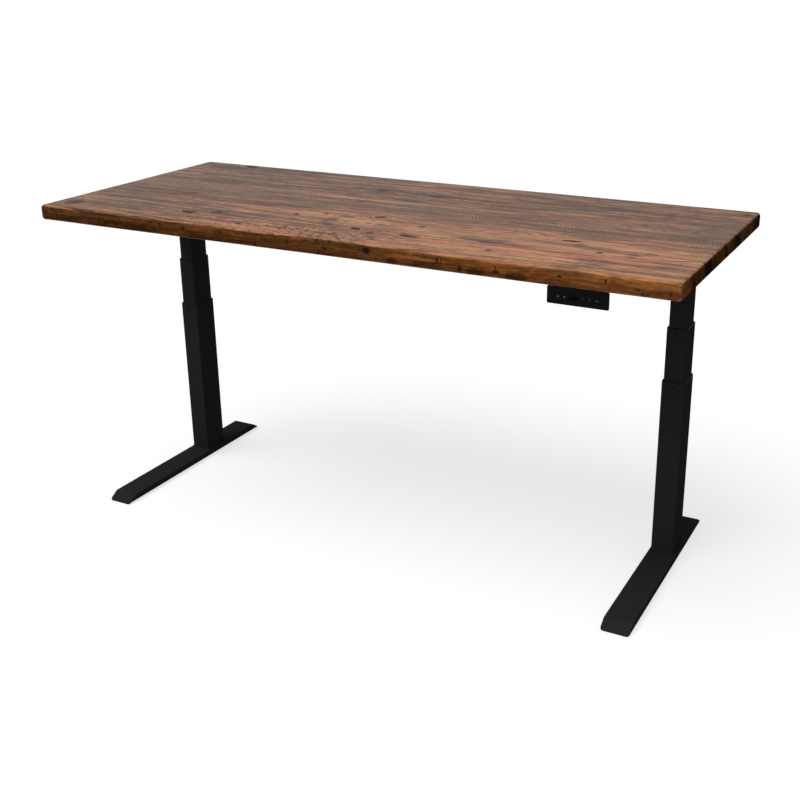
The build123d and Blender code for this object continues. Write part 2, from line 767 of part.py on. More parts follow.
# ---------------------------------------------------------------- control box
def make_control_box():
    """The moulded case, its flat base against the desktop, its board, inlet and sockets."""
    bottom = underside - control_height
    front = control_y - control_depth / 2
    right = control_x + control_length / 2
    socket_z = underside - control_height / 2
    socket_places = [control_x + (i - (socket_count - 1) / 2) * socket_pitch for i in range(socket_count)]
    centre = Plane(origin=(control_x, control_y, bottom))
    with BuildPart() as case:
        with BuildSketch(centre):
            RectangleRounded(control_length, control_depth, control_corner)
        extrude(amount=control_height - control_wall)
        chamfer(case.faces().sort_by(Axis.Z)[0].edges(), control_wall / 2)
        with BuildSketch(centre.offset(control_wall)):
            RectangleRounded(control_length - 2 * control_wall, control_depth - 2 * control_wall,
                             control_corner - control_wall)
        extrude(amount=control_height, mode=Mode.SUBTRACT)
        for place in socket_places:
            with Locations((place, front, socket_z)):
                Box(socket_width + 2 * fit_gap, 3 * control_wall, socket_height + 2 * fit_gap,
                    mode=Mode.SUBTRACT)
        with Locations((right, control_y, socket_z)):
            Box(3 * control_wall, inlet_width + 2 * fit_gap, inlet_height + 2 * fit_gap,
                mode=Mode.SUBTRACT)
    save(case.part, "control_box_case")

    with BuildPart() as base:
        with BuildSketch(Plane(origin=(control_x, control_y, underside - control_wall))):
            RectangleRounded(control_length, control_depth, control_corner)
        extrude(amount=control_wall)
        with BuildSketch(Plane(origin=(control_x, control_y, underside - control_ear_thickness))):
            with GridLocations(control_length + control_ear, 0, 2, 1):
                Rectangle(control_ear, control_ear_width)
        extrude(amount=control_ear_thickness)
        outer_ears = base.edges().filter_by(Axis.Z).group_by(Axis.X)
        fillet(outer_ears[0] + outer_ears[-1], control_ear / 3)
        for x, y in control_screw_points():
            with Locations((x, y, underside)):
                Cylinder(wood_screw_radius + bolt_clearance, 4 * control_ear_thickness,
                         mode=Mode.SUBTRACT)
    save(base.part, "control_box_base")

    board_z = underside - control_board_drop
    board_length = control_length - 2 * control_wall - 2 * control_board_inset - inlet_length
    board_depth = control_depth - 2 * control_wall - 2 * control_board_inset - socket_length
    board_x = control_x - inlet_length / 2
    board_y = control_y + socket_length / 2
    with BuildPart() as board:
        with BuildSketch(Plane(origin=(board_x, board_y, board_z))):
            Rectangle(board_length, board_depth)
        extrude(amount=board_thickness)
        with BuildSketch(Plane(origin=(board_x, board_y, bottom + control_wall))):
            with GridLocations(board_length - 4 * standoff_radius, board_depth - 4 * standoff_radius, 2, 2):
                Circle(standoff_radius)
        extrude(amount=board_z - bottom - control_wall)
        with BuildSketch(Plane(origin=(board_x, board_y, board_z + board_thickness))):
            with GridLocations(board_length / 4, 0, 3, 1):
                Rectangle(board_length / 8, board_depth / 2)
        extrude(amount=chip_height)
    save(board.part, "control_board")

    with BuildPart() as inlet:
        mouth = Plane(origin=(right, control_y, socket_z), x_dir=(0, 1, 0), z_dir=(-1, 0, 0))
        with BuildSketch(mouth):
            RectangleRounded(inlet_width, inlet_height, inlet_wall)
        extrude(amount=inlet_length)
        with BuildSketch(mouth):
            RectangleRounded(inlet_width - 2 * inlet_wall, inlet_height - 2 * inlet_wall, inlet_wall)
        extrude(amount=inlet_length - inlet_wall, mode=Mode.SUBTRACT)
        with BuildSketch(mouth.offset(inlet_length - inlet_wall)):
            with GridLocations(inlet_pin_pitch, 0, 3, 1):
                Rectangle(inlet_pin_width, 2 * inlet_pin_width)
        extrude(amount=-inlet_pin_length)
    save(inlet.part, "power_inlet")

    sockets = []
    for place in socket_places:
        mouth = Plane(origin=(place, front, socket_z), x_dir=(1, 0, 0), z_dir=(0, 1, 0))
        with BuildPart() as socket:
            with BuildSketch(mouth):
                Rectangle(socket_width, socket_height)
            extrude(amount=socket_length)
            with BuildSketch(mouth):
                Rectangle(socket_width - 2 * socket_wall, socket_height - 2 * socket_wall)
            extrude(amount=socket_length - socket_wall, mode=Mode.SUBTRACT)
        sockets.append(socket.part)
    group(sockets, "cable_sockets")


# ---------------------------------------------------------------- handset
def key_plane(place):
    """Plane of one key's front face in the handset panel, pointing to the rear."""
    return Plane(origin=(handset_x + place, panel_front, handset_z + key_row_z),
                 x_dir=(1, 0, 0), z_dir=(0, 1, 0))


def make_handset():
    """The handset: front panel, case with its screw tongue, display window and board."""
    middle = Plane(origin=(handset_x, panel_front, handset_z + handset_height / 2),
                   x_dir=(1, 0, 0), z_dir=(0, 1, 0))
    with BuildPart() as panel:
        with BuildSketch(middle):
            RectangleRounded(handset_width, handset_height, handset_corner)
        extrude(amount=panel_thickness)
        fillet(panel.faces().sort_by(Axis.Y)[0].edges(), 0.5)
        for place in key_places:
            with BuildSketch(key_plane(place)):
                RectangleRounded(key_width + 2 * key_gap, key_height + 2 * key_gap, key_corner + key_gap)
            extrude(amount=panel_thickness, mode=Mode.SUBTRACT)
        with BuildSketch(key_plane(display_place)):
            Rectangle(display_width, display_height)
        extrude(amount=panel_thickness, mode=Mode.SUBTRACT)
    save(panel.part, "handset_panel")

    with BuildPart() as window:
        with BuildSketch(key_plane(display_place)):
            Rectangle(display_width, display_height)
        extrude(amount=panel_thickness + handset_board_gap)
    save(window.part, "handset_display")

    case_width = handset_width - 2 * case_inset
    case_height = handset_height - case_lift
    case_z = handset_z + case_lift + case_height / 2
    back = Plane(origin=(handset_x, panel_back, case_z), x_dir=(1, 0, 0), z_dir=(0, 1, 0))
    with BuildPart() as case:
        with BuildSketch(back):
            Rectangle(case_width, case_height)
        extrude(amount=case_depth)
        fillet(case.edges().filter_by(Axis.Z).group_by(Axis.Y)[-1], handset_corner)
        with BuildSketch(back):
            Rectangle(case_width - 2 * case_wall, case_height - 2 * case_wall)
        extrude(amount=case_depth - case_wall, mode=Mode.SUBTRACT)
        with BuildSketch(Plane(origin=(handset_x, panel_back + case_depth + tongue_length / 2,
                                       underside - tongue_thickness))):
            Rectangle(handset_width - 2 * tongue_inset, tongue_length)
        extrude(amount=tongue_thickness)
        fillet(case.edges().filter_by(Axis.Z).group_by(Axis.Y)[-1], handset_corner)
        for x, y in handset_screw_points():
            with Locations((x, y, underside)):
                Cylinder(wood_screw_radius + bolt_clearance, 4 * tongue_thickness, mode=Mode.SUBTRACT)
        support = handset_board_gap + board_thickness
        with BuildSketch(back.offset(support)):
            with GridLocations(case_width - 2 * case_wall - 2 * standoff_radius, 0, 2, 1):
                Rectangle(2 * standoff_radius, handset_board_height / 2)
        extrude(amount=case_depth - case_wall - support)
    save(case.part, "handset_case")

    with BuildPart() as board:
        with BuildSketch(Plane(origin=(handset_x, panel_back + handset_board_gap, case_z),
                               x_dir=(1, 0, 0), z_dir=(0, 1, 0))):
            Rectangle(case_width - 2 * case_wall - 2 * fit_gap, handset_board_height)
        extrude(amount=board_thickness)
        for place in key_places:
            with BuildSketch(key_plane(place).offset(panel_thickness + handset_board_gap)):
                Rectangle(switch_size, switch_size)
            extrude(amount=-switch_height)
    save(board.part, "handset_board")

    for name, place in zip(key_names, key_places):
        with BuildPart() as key:
            with BuildSketch(key_plane(place)):
                RectangleRounded(key_width, key_height, key_corner)
            extrude(amount=key_depth)
            fillet(key.faces().sort_by(Axis.Y)[0].edges(), key_rim / 4)
        save(key.part, name)


# ---------------------------------------------------------------- the whole desk
make_desktop()
make_wood_screws()
make_arm_pads()
make_rails()
make_frame_bolts()
make_control_box()
make_handset()
for side in column_x:
    make_arm(side)
    make_gearbox(side)
    make_motor(side)
    make_frame_end(side)
    save(rounded_tube(Plane(origin=(column_x[side], column_y, inner_bottom)), inner_width, inner_depth,
                      tube_wall, inner_tube_length), f"{side}_inner_tube")
    make_inner_nut(side)
    make_drive_rod(side)
    make_stage_tube(side, "middle_tube", middle_bottom, middle_top, middle_width, middle_depth)
    make_collar(side, "middle_collar", middle_top, middle_width, middle_depth)
    make_collar_screw(side, "middle_collar_screw", middle_top, middle_depth)
    make_end_plate(side)
    make_hollow_screw(side)
    make_stage_tube(side, "outer_tube", foot_top, outer_top, outer_width, outer_depth)
    make_collar(side, "outer_collar", outer_top, outer_width, outer_depth)
    make_collar_screw(side, "outer_collar_screw", outer_top, outer_depth)
    make_fixed_screw(side)
    make_foot(side)
    make_foot_bolts(side)
    make_glide(side, "front", column_y - foot_front + glide_inset)
    make_glide(side, "rear", column_y + foot_rear - glide_inset)
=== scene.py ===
import json
import math

import bmesh
import bpy
from bpy.props import FloatProperty, FloatVectorProperty, PointerProperty
from mathutils import Matrix, Vector

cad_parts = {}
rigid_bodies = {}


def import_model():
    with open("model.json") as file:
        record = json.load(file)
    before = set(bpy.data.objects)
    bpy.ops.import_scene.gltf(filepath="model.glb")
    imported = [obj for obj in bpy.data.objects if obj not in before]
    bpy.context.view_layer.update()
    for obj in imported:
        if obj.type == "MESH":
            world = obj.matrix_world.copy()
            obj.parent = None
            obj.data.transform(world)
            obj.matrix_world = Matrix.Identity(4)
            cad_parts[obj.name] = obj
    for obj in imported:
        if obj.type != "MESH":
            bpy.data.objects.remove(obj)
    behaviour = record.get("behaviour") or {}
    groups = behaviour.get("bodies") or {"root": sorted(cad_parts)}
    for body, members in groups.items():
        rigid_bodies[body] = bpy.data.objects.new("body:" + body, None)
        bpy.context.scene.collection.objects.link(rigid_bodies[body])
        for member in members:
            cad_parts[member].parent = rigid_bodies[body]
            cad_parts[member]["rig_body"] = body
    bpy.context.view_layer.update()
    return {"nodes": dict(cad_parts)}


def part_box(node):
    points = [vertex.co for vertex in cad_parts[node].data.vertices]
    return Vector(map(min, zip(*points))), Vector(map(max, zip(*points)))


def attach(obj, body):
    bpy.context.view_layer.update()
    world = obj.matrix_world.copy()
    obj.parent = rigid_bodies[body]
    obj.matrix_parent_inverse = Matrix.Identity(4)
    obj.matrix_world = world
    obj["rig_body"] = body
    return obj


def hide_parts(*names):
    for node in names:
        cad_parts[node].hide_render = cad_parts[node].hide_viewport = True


bl_info = {
    "name": "Height adjustable desk",
    "version": (1, 0, 0),
    "blender": (4, 5, 0),
    "location": "View3D > Sidebar > Desk",
    "description": "Dresses the desk: a glued-up wooden top, powder-coated columns and feet, and a keypad",
    "category": "Object",
}

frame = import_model()
SIDES = ("left", "right")
MM = 0.001
# Edges of more degrees than this stay sharp when a mesh is shaded smooth, and are softened first
SHARP_ANGLE = 32

TOP_LOW, TOP_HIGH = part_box("desktop")
TOP_DEPTH = TOP_HIGH.y - TOP_LOW.y
# Where the two layers of the front board meet, where a patch is let into the rear board,
# and the middle of the black board at the right end
LAMINATION_Z = TOP_HIGH.z - 0.0225
PATCH_X = 0.757
BLACK_Y = -0.1475

# Glue lines of the top, along X: their Y in millimetres
SEAMS = (-290.0, -242.0, -118.0, -55.0, 90.0, 165.0, 288.0)
# Where the pattern of each board starts, from the front board to the rear one
BOARD_STARTS = (0.13, 0.71, 0.36, 0.92, 0.22, 0.58, 0.05, 0.83)

# Marks of the old boards on the top face, in millimetres and degrees:
# X, Y, half length, half width, turn and strength from 0 to 1
KNOTS = (
    (-718, 348, 24, 14, 0, 1.0), (-140, 197, 17, 9, 0, 0.95), (54, 186, 28, 9, 0, 0.5),
    (28, -109, 15, 13, 0, 0.7), (-474, -277, 19, 10, -12, 1.0), (34, -250, 17, 9, -22, 1.0),
    (193, -262, 28, 8, -8, 1.0), (-403, -245, 19, 9, 18, 0.9), (574, -136, 22, 7, 6, 1.0),
    (-851, -314, 22, 27, 0, 0.6), (-196, -171, 14, 5, -50, 0.9), (-127, -135, 8, 7, -40, 0.8),
    (671, -211, 7, 7, 0, 0.8), (890, 326, 11, 11, 0, 0.8), (429, -303, 7, 7, 0, 0.85),
    (178, -158, 7, 8, 20, 0.6), (-762, -66, 18, 13, 10, 0.35), (-630, -80, 26, 14, 0, 0.5),
    (682, 102, 9, 8, 0, 0.5), (-272, -329, 10, 8, 0, 0.9), (91, -274, 14, 8, 0, 0.85),
)
# Places where the wood is stained, but still shows its grain
STAINS = (
    (-201, 113, 18, 12, -50, 0.8), (-170, 104, 62, 19, -27, 0.3), (-138, 84, 22, 9, -30, 0.3),
    (-122, 36, 12, 8, -40, 0.8), (711, 236, 13, 36, 0, 0.4), (474, 207, 60, 9, 0, 0.6),
    (-56, -138, 17, 8, 20, 0.5), (-76, -165, 9, 24, -12, 0.6), (-82, -190, 9, 24, 4, 0.55),
    (-66, -228, 22, 9, -28, 0.7), (-514, -187, 28, 6, -3, 1.0), (-450, -221, 55, 7, 2, 0.5),
    (-672, -108, 9, 6, 0, 0.6), (-830, -77, 22, 20, 0, 0.35), (-398, -103, 60, 15, -6, 0.45),
    (-335, -114, 14, 8, 0, 0.4), (421, -203, 15, 16, 0, 0.35), (405, -229, 80, 9, -2, 0.8),
    (605, -164, 9, 17, 10, 0.55), (784, -174, 13, 8, 0, 0.5), (748, -208, 12, 15, 0, 0.8),
    (771, 268, 9, 8, 0, 0.4), (821, 86, 7, 16, 0, 0.35), (-638, -308, 26, 8, 0, 0.35),
    (-603, -324, 12, 7, 0, 0.3), (-351, -298, 14, 9, -20, 0.7), (642, -361, 24, 12, 0, 0.4),
    (695, -298, 40, 14, 0, 0.5), (118, -316, 20, 10, -20, 0.5), (-9, -319, 30, 8, -6, 0.2),
    (-360, -264, 300, 12, 0, 0.30), (-750, -86, 140, 24, 0, 0.25), (-600, 311, 290, 16, 0, 0.35),
    (700, 124, 140, 20, 0, 0.25), (850, 46, 70, 15, 0, 0.28), (600, -84, 60, 12, 0, 0.15),
    (-720, 336, 210, 34, 0, 0.22), (-690, -246, 130, 9, 0, 0.5), (200, 22, 150, 10, 0, 0.25),
)
CRACKS = (
    (612, -252, 92, 1.7, 2, 0.95), (872, -204, 44, 2.2, 14, 1.0), (480, -231, 120, 1.6, 0, 0.85),
    (-560, -240, 140, 1.4, 0, 0.6), (290, -262, 130, 1.5, 1, 0.8), (835, 262, 70, 1.6, -2, 0.7),
    (-120, -292, 60, 1.4, 3, 0.7), (300, 205, 90, 1.2, 0.5, 0.6), (-330, 60, 120, 1.2, -0.8, 0.5),
    (-20, -331, 55, 1.6, 5, 0.8), (40, -352, 34, 2.0, -40, 0.8), (700, 340, 90, 1.3, 1, 0.5),
)
# Saw marks: regions of fine strokes across the grain
SAWN = (
    (355, 3, 210, 44, 0, 0.85), (880, -20, 40, 36, 0, 0.9), (-280, 20, 52, 42, 0, 0.8),
    (-722, -82, 96, 40, 0, 0.55), (-60, 120, 70, 40, -20, 0.5), (640, 20, 120, 34, 0, 0.4),
)
# Torn and wormed grain: regions of small dark flecks
TORN = (
    (-40, -335, 190, 48, 0, 1.0), (-330, -330, 160, 44, 0, 0.7), (-560, -322, 120, 36, 0, 0.45),
    (240, -340, 120, 30, 0, 0.35), (600, -345, 150, 26, 0, 0.3),
)
# Centres that the grain rings go round: X, Y, half length, half width, turn and number of rings
SWIRLS = (
    (-160, 108, 80, 34, -38, 4), (2, -187, 105, 46, 0, 3), (28, -109, 42, 34, 0, 3),
    (-718, 348, 60, 24, 0, 3), (574, -136, 60, 20, 4, 3), (-440, -262, 90, 26, 0, 3),
    (-134, 197, 50, 22, 0, 3), (700, 60, 70, 22, 0, 3),
)
# Paler patches
LIGHTS = (
    (2, -187, 52, 26, 0, 1.0), (-250, 66, 60, 12, 0, 0.7), (737, 170, 16, 14, 0, 0.7),
    (455, 149, 66, 10, 0, 0.6), (640, 55, 80, 16, 0, 0.8), (-424, 215, 36, 22, 0, 0.4),
    (795, 118, 30, 12, 0, 0.6), (-150, -254, 150, 10, 0, 0.8), (150, -26, 140, 20, 0, 0.45),
    (450, 45, 140, 13, 0, 0.4), (-450, -165, 150, 17, 0, 0.45), (150, -134, 150, 15, 0, 0.45),
    (-450, 124, 150, 18, 0, 0.45), (750, -74, 140, 14, 0, 0.5), (714, -51, 110, 6, 0, 0.9),
    (450, -115, 290, 6, 0, 0.8), (60, 80, 820, 13, 0, 0.45), (430, -292, 150, 40, 0, 0.7),
    (330, -250, 110, 10, 0, 0.7), (750, -256, 140, 14, 0, 0.4), (-130, -190, 60, 40, 0, 0.35),
    (190, -225, 120, 24, 0, 0.45), (-560, -236, 330, 5, 0, 0.6), (-150, -350, 120, 26, 0, 0.35),
    (-330, 160, 120, 7, 0, 0.45), (280, 25, 90, 18, 0, 0.4), (-700, 68, 200, 10, 0, 0.3),
    (540, 330, 190, 34, 0, 0.40), (240, 240, 50, 12, 0, 0.35), (840, -90, 60, 22, 0, 0.35),
    (-150, 300, 260, 10, 0, 0.3),
)
# Redder streaks
REDS = (
    (620, -262, 290, 15, 1, 1.0), (300, -128, 330, 10, 0, 0.7), (-380, -120, 260, 18, -1, 0.6),
    (40, -272, 150, 14, -3, 0.8), (-650, 120, 240, 16, 0, 0.6), (480, 84, 260, 12, 0, 0.6),
    (-300, 240, 280, 12, 0, 0.5), (760, 190, 150, 14, 0, 0.5), (-560, -300, 220, 14, 0, 0.5),
)
# Tone of the top from its front edge, 0, to its back edge, 1
TONES = (
    (0.0, 0.52), (0.055, 0.54), (0.119, 0.50), (0.125, 0.46), (0.150, 0.44), (0.182, 0.40),
    (0.190, 0.44), (0.235, 0.43), (0.300, 0.46), (0.345, 0.42), (0.352, 0.36), (0.425, 0.34),
    (0.432, 0.31), (0.490, 0.32), (0.560, 0.37), (0.600, 0.41), (0.618, 0.41), (0.626, 0.28),
    (0.700, 0.26), (0.716, 0.33), (0.735, 0.28), (0.770, 0.26), (0.800, 0.28), (0.860, 0.33),
    (0.877, 0.34), (0.884, 0.22), (0.930, 0.26), (1.0, 0.22),
)
# Tone of the end grain from the front edge, 0, to the back edge, 1
ENDS = (
    (0.0, 1.10), (0.067, 1.14), (0.080, 0.93), (0.106, 0.48), (0.121, 0.14), (0.133, 0.42),
    (0.146, 0.60), (0.175, 0.28), (0.205, 0.56), (0.231, 0.45), (0.369, 0.40), (0.421, 0.40),
    (0.447, 0.62), (0.480, 0.56), (0.498, 0.02), (0.508, 0.08), (0.526, 0.52), (0.565, 0.54),
    (0.590, 0.34), (0.631, 0.14), (0.651, 0.0), (0.672, 0.12), (0.723, 0.68), (0.789, 0.46),
    (0.828, 0.46), (0.854, 0.72), (0.902, 0.18), (0.926, 0.32), (0.950, 0.14), (1.0, 0.04),
)
# Nail stains and knots of the front edge: X, Z above the underside, half length, half height,
# turn and strength
EDGE_MARKS = (
    (-700, 24, 1.9, 6.5, 0, 0.95), (-489, 28, 2.0, 6, 0, 1.0), (-411, 26, 6, 5, 0, 0.75),
    (-294, 28, 2.0, 6, 0, 0.8), (-184, 9, 3, 7, 0, 0.85), (-85, 28, 1.9, 7, 0, 1.0),
    (23, 21, 8, 2.4, -18, 0.85), (5, 8, 2.5, 6, 0, 0.9), (142, 29, 10, 7.5, 0, 1.0),
    (141, 28, 20, 10, 0, 0.45), (211, 10, 15, 8, 0, 0.75), (333, 25, 3, 8, 0, 0.85),
    (343, 26, 1.2, 9, 0, 0.8), (392, 13, 5, 8, 0, 0.8), (430, 9, 20, 9, 0, 0.7),
    (482, 23, 1.4, 8, 0, 0.9), (484, 16, 9, 4, 0, 0.85), (533, 12, 27, 9, 0, 0.72),
    (637, 25, 6, 3, 0, 0.9), (745, 27, 2.2, 5.5, 0, 1.0), (753, 12, 2, 2.5, 0, 0.8),
    (817, 17, 6, 3, 0, 0.6), (828, 7, 4, 6, 0, 0.6), (890, 16, 3, 6, 0, 0.6), (-560, 7, 40, 4, 0, 0.35),
    (-630, 18, 12, 16, 0, 0.18), (300, 8, 40, 9, 0, 0.35), (-20, 28, 60, 3, 0, 0.25),
    (700, 18, 120, 1.5, 0, 0.3), (480, 31, 170, 10, 0, 0.20), (720, 8, 150, 8, 0, 0.18),
    (-420, 30, 190, 9, 0, 0.14),
)


# ---------------------------------------------------------------- settings
class DeskWoodSettings(bpy.types.PropertyGroup):
    """Colours and finish of the wooden top."""

    honey: FloatVectorProperty(name="Honey", description="Bright early wood", subtype="COLOR",
                               size=3, min=0, max=1, default=(0.326, 0.1440, 0.0690))
    russet: FloatVectorProperty(name="Russet", description="Reddish heartwood", subtype="COLOR",
                                size=3, min=0, max=1, default=(0.125, 0.0590, 0.0260))
    # grey of weathered wood, also used as a painted sheen that greys the top more towards the back
    weathered_and_sheen: FloatVectorProperty(name="Weathered", description="Greyed old surface", subtype="COLOR",
                                   size=3, min=0, max=1, default=(0.105, 0.0620, 0.0400))
    stain: FloatVectorProperty(name="Stain", description="Knots, cracks and nail stains", subtype="COLOR",
                               size=3, min=0, max=1, default=(0.0125, 0.0074, 0.0048))
    roughness: FloatProperty(name="Roughness", description="Roughness of the lacquer", min=0, max=1,
                             default=0.42, subtype="FACTOR")
    waviness: FloatProperty(name="Waviness", description="How uneven the hand-sanded faces are",
                            default=0.0007, min=0, max=0.003, unit="LENGTH")
    corner: FloatProperty(name="Corner", description="Plan radius of the corners of the top",
                          default=0.012, min=0.001, max=0.05, unit="LENGTH")
    roundover: FloatProperty(name="Roundover", description="Radius of the edges of the top",
                             default=0.010, min=0.001, max=0.02, unit="LENGTH")


class DeskMetalSettings(bpy.types.PropertyGroup):
    """Colours and finish of the columns, feet and fittings."""

    coat: FloatVectorProperty(name="Powder coat", description="Colour of the coated steel",
                              subtype="COLOR", size=3, min=0, max=1, default=(0.0258, 0.0248, 0.0242))
    plastic: FloatVectorProperty(name="Plastic", description="Colour of the moulded parts",
                                 subtype="COLOR", size=3, min=0, max=1, default=(0.0100, 0.0098, 0.0100))
    keypad: FloatVectorProperty(name="Keypad", description="Colour of the keypad and its keys",
                                subtype="COLOR", size=3, min=0, max=1, default=(0.0053, 0.0053, 0.0056))
    zinc: FloatVectorProperty(name="Zinc", description="Colour of the plated fasteners",
                              subtype="COLOR", size=3, min=0, max=1, default=(0.52, 0.52, 0.53))
    mark: FloatVectorProperty(name="Marks", description="Colour of the signs on the keys",
                              subtype="COLOR", size=3, min=0, max=1, default=(0.115, 0.119, 0.127))
    coat_roughness: FloatProperty(name="Coat roughness", description="Roughness of the powder coat",
                                  min=0, max=1, default=0.72, subtype="FACTOR")
    edge: FloatProperty(name="Edge", description="Width of the softened edges", default=0.0004,
                        min=0.0001, max=0.002, unit="LENGTH")
    bend: FloatProperty(name="Bend", description="Radius of the bends of the feet", default=0.004,
                        min=0.001, max=0.01, unit="LENGTH")


class DeskStageSettings(bpy.types.PropertyGroup):
    """Camera, floor and light."""

    lens: FloatProperty(name="Lens", description="Focal length in millimetres", default=50.954, min=10,
                        max=200, unit="CAMERA")
    key_power: FloatProperty(name="Key", description="Strength of the lamp in front", default=1.86, min=0,
                             max=10)
    fill_power: FloatProperty(name="Fill", description="Strength of the low lamp in front", default=0.42,
                              min=0, max=10)
    sky: FloatProperty(name="Sky", description="Strength of the even light", default=0.30, min=0, max=2)
    glow: FloatProperty(name="Glow", description="Light that the floor itself adds to its picture",
                        default=0.66, min=0, max=1)
    floor: FloatVectorProperty(name="Floor", description="Colour of the floor", subtype="COLOR", size=3,
                               min=0, max=1, default=(0.45, 0.45, 0.45))


# ---------------------------------------------------------------- modelling helpers
def deselect():
    """Leaves no object selected and no mesh in edit mode."""
    if bpy.context.mode != "OBJECT":
        bpy.ops.object.mode_set(mode="OBJECT")
    bpy.ops.object.select_all(action="DESELECT")


def pick(obj):
    """Makes one object the only selected and active one."""
    deselect()
    obj.select_set(True)
    bpy.context.view_layer.objects.active = obj


def bake_place(obj):
    """Puts the object's place, turn and size into its mesh."""
    pick(obj)
    bpy.ops.object.transform_apply(location=True, rotation=True, scale=True)


def block(name, low, high):
    """A box between two corners, with its place in its mesh."""
    low, high = Vector(low), Vector(high)
    deselect()
    bpy.ops.mesh.primitive_cube_add(size=1, location=(low + high) / 2)
    obj = bpy.context.object
    obj.name = obj.data.name = name
    obj.scale = high - low
    bake_place(obj)
    return obj


def edit(obj):
    """Opens one object in edit mode."""
    pick(obj)
    bpy.ops.object.mode_set(mode="EDIT")


def choose(kind, test):
    """Selects just the vertices, edges or faces of the open mesh that pass a test."""
    bpy.ops.mesh.select_mode(type=kind)
    bpy.ops.mesh.select_all(action="DESELECT")
    mesh = bpy.context.edit_object.data
    shape = bmesh.from_edit_mesh(mesh)
    for item in {"VERT": shape.verts, "EDGE": shape.edges, "FACE": shape.faces}[kind]:
        if test(item):
            item.select_set(True)
    shape.select_flush_mode()
    bmesh.update_edit_mesh(mesh)


def along(edge, axis):
    """Whether an edge runs along one axis."""
    step = edge.verts[1].co - edge.verts[0].co
    return abs(step[axis]) > 0.999 * step.length


def cut(axis, place):
    """Adds a loop of edges across the whole open mesh."""
    bpy.ops.mesh.select_all(action="SELECT")
    normal = [0, 0, 0]
    normal[axis] = 1
    point = [0, 0, 0]
    point[axis] = place
    bpy.ops.mesh.bisect(plane_co=point, plane_no=normal)


def modify(obj, kind, **settings):
    """Adds one modifier with its settings and applies it."""
    pick(obj)
    modifier = obj.modifiers.new(kind.title(), kind)
    for key, value in settings.items():
        setattr(modifier, key, value)
    bpy.ops.object.modifier_apply(modifier=modifier.name)


def smooth(obj, angle=SHARP_ANGLE):
    """Shades a mesh smooth except across its sharp edges."""
    pick(obj)
    bpy.ops.object.shade_smooth_by_angle(angle=math.radians(angle))
    deselect()


def paint_only(obj, material):
    """Makes one material the only one of an object."""
    obj.data.materials.clear()
    obj.data.materials.append(material)


def seat(obj, body, slot, material, *nodes):
    """Gives a finished piece its material and body, and hides the nodes that it stands for."""
    paint_only(obj, material)
    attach(obj, body)
    if nodes:
        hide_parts(*nodes)
    return obj


def body_name(node):
    """The body that a CAD node belongs to."""
    return frame["nodes"][node]["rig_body"]


def refine(node, slot, material, edge):
    """A copy of a CAD node with its faces joined and its sharp edges softened."""
    copy = frame["nodes"][node].copy()
    copy.data = copy.data.copy()
    copy.parent = None
    copy.name = copy.data.name = node + "_finished"
    for key in list(copy.keys()):
        del copy[key]
    bpy.context.scene.collection.objects.link(copy)
    copy.matrix_world = Matrix.Identity(4)
    edit(copy)
    bpy.ops.mesh.select_all(action="SELECT")
    bpy.ops.mesh.remove_doubles(threshold=0.000005)
    bpy.ops.mesh.dissolve_limited(angle_limit=math.radians(0.4))
    deselect()
    if edge > 0:
        modify(copy, "BEVEL", width=edge, segments=2, limit_method="ANGLE",
               angle_limit=math.radians(SHARP_ANGLE), use_clamp_overlap=True)
    smooth(copy)
    return seat(copy, body_name(node), slot, material, node)


# ---------------------------------------------------------------- material helpers
def feed(socket, value):
    """Links a socket to another, or sets its value."""
    if isinstance(value, bpy.types.NodeSocket):
        socket.id_data.links.new(value, socket)
    else:
        socket.default_value = value


def add(kind, inputs, tree=None, **settings):
    """Adds one node, to the tree that its inputs come from unless a tree is given."""
    if tree is None:
        tree = next(v.id_data for v in inputs.values() if isinstance(v, bpy.types.NodeSocket))
    node = tree.nodes.new("ShaderNode" + kind)
    for key, value in settings.items():
        setattr(node, key, value)
    for key, value in inputs.items():
        feed(node.inputs[key], value)
    return node


def maths(operation, *values, clamp=False):
    """One step of arithmetic."""
    return add("Math", dict(enumerate(values)), operation=operation, use_clamp=clamp).outputs[0]


def times(first, second):
    """The product of two values."""
    return maths("MULTIPLY", first, second)


def plus(first, second):
    """The sum of two values."""
    return maths("ADD", first, second)


def scaled(value, factor, offset):
    """A value times a factor, plus an offset."""
    return maths("MULTIPLY_ADD", value, factor, offset)


def most(first, second):
    """The larger of two values."""
    return maths("MAXIMUM", first, second)


def gap(value, centre):
    """How far a value is from a number."""
    return maths("ABSOLUTE", plus(value, -centre))


def fade(value, start, end, low=0.0, high=1.0):
    """A smooth step of a value."""
    return add("MapRange", {"Value": value, "From Min": start, "From Max": end, "To Min": low,
                            "To Max": high}, interpolation_type="SMOOTHSTEP").outputs[0]


def mix(factor, first, second, blend="MIX"):
    """A mix of two colours."""
    first, second = ((*c, 1) if not isinstance(c, bpy.types.NodeSocket) and len(c) == 3 else c
                     for c in (first, second))
    return add("Mix", {0: factor, 6: first, 7: second}, data_type="RGBA", blend_type=blend).outputs[2]


def tinted(where, colour, tint):
    """A colour that is multiplied by another in some places."""
    return mix(where, colour, mix(1.0, colour, tint, "MULTIPLY"))


def vector(x, y, z):
    """Three values as one vector."""
    return add("CombineXYZ", {"X": x, "Y": y, "Z": z}).outputs[0]


def noise(place, scale, detail=3.0, roughness=0.55, distortion=0.0):
    """A cloud pattern from 0 to 1."""
    return add("TexNoise", {"Vector": place, "Scale": scale, "Detail": detail,
                            "Roughness": roughness, "Distortion": distortion}).outputs[0]


def cloud(place, along, wide, detail, roughness=0.55, distortion=0.0):
    """A pattern with features of a length and width in metres."""
    u, v, w = place
    return noise(vector(times(u, 1 / along), times(v, 1 / wide), times(w, 1 / wide)),
                 1.0, detail, roughness, distortion)


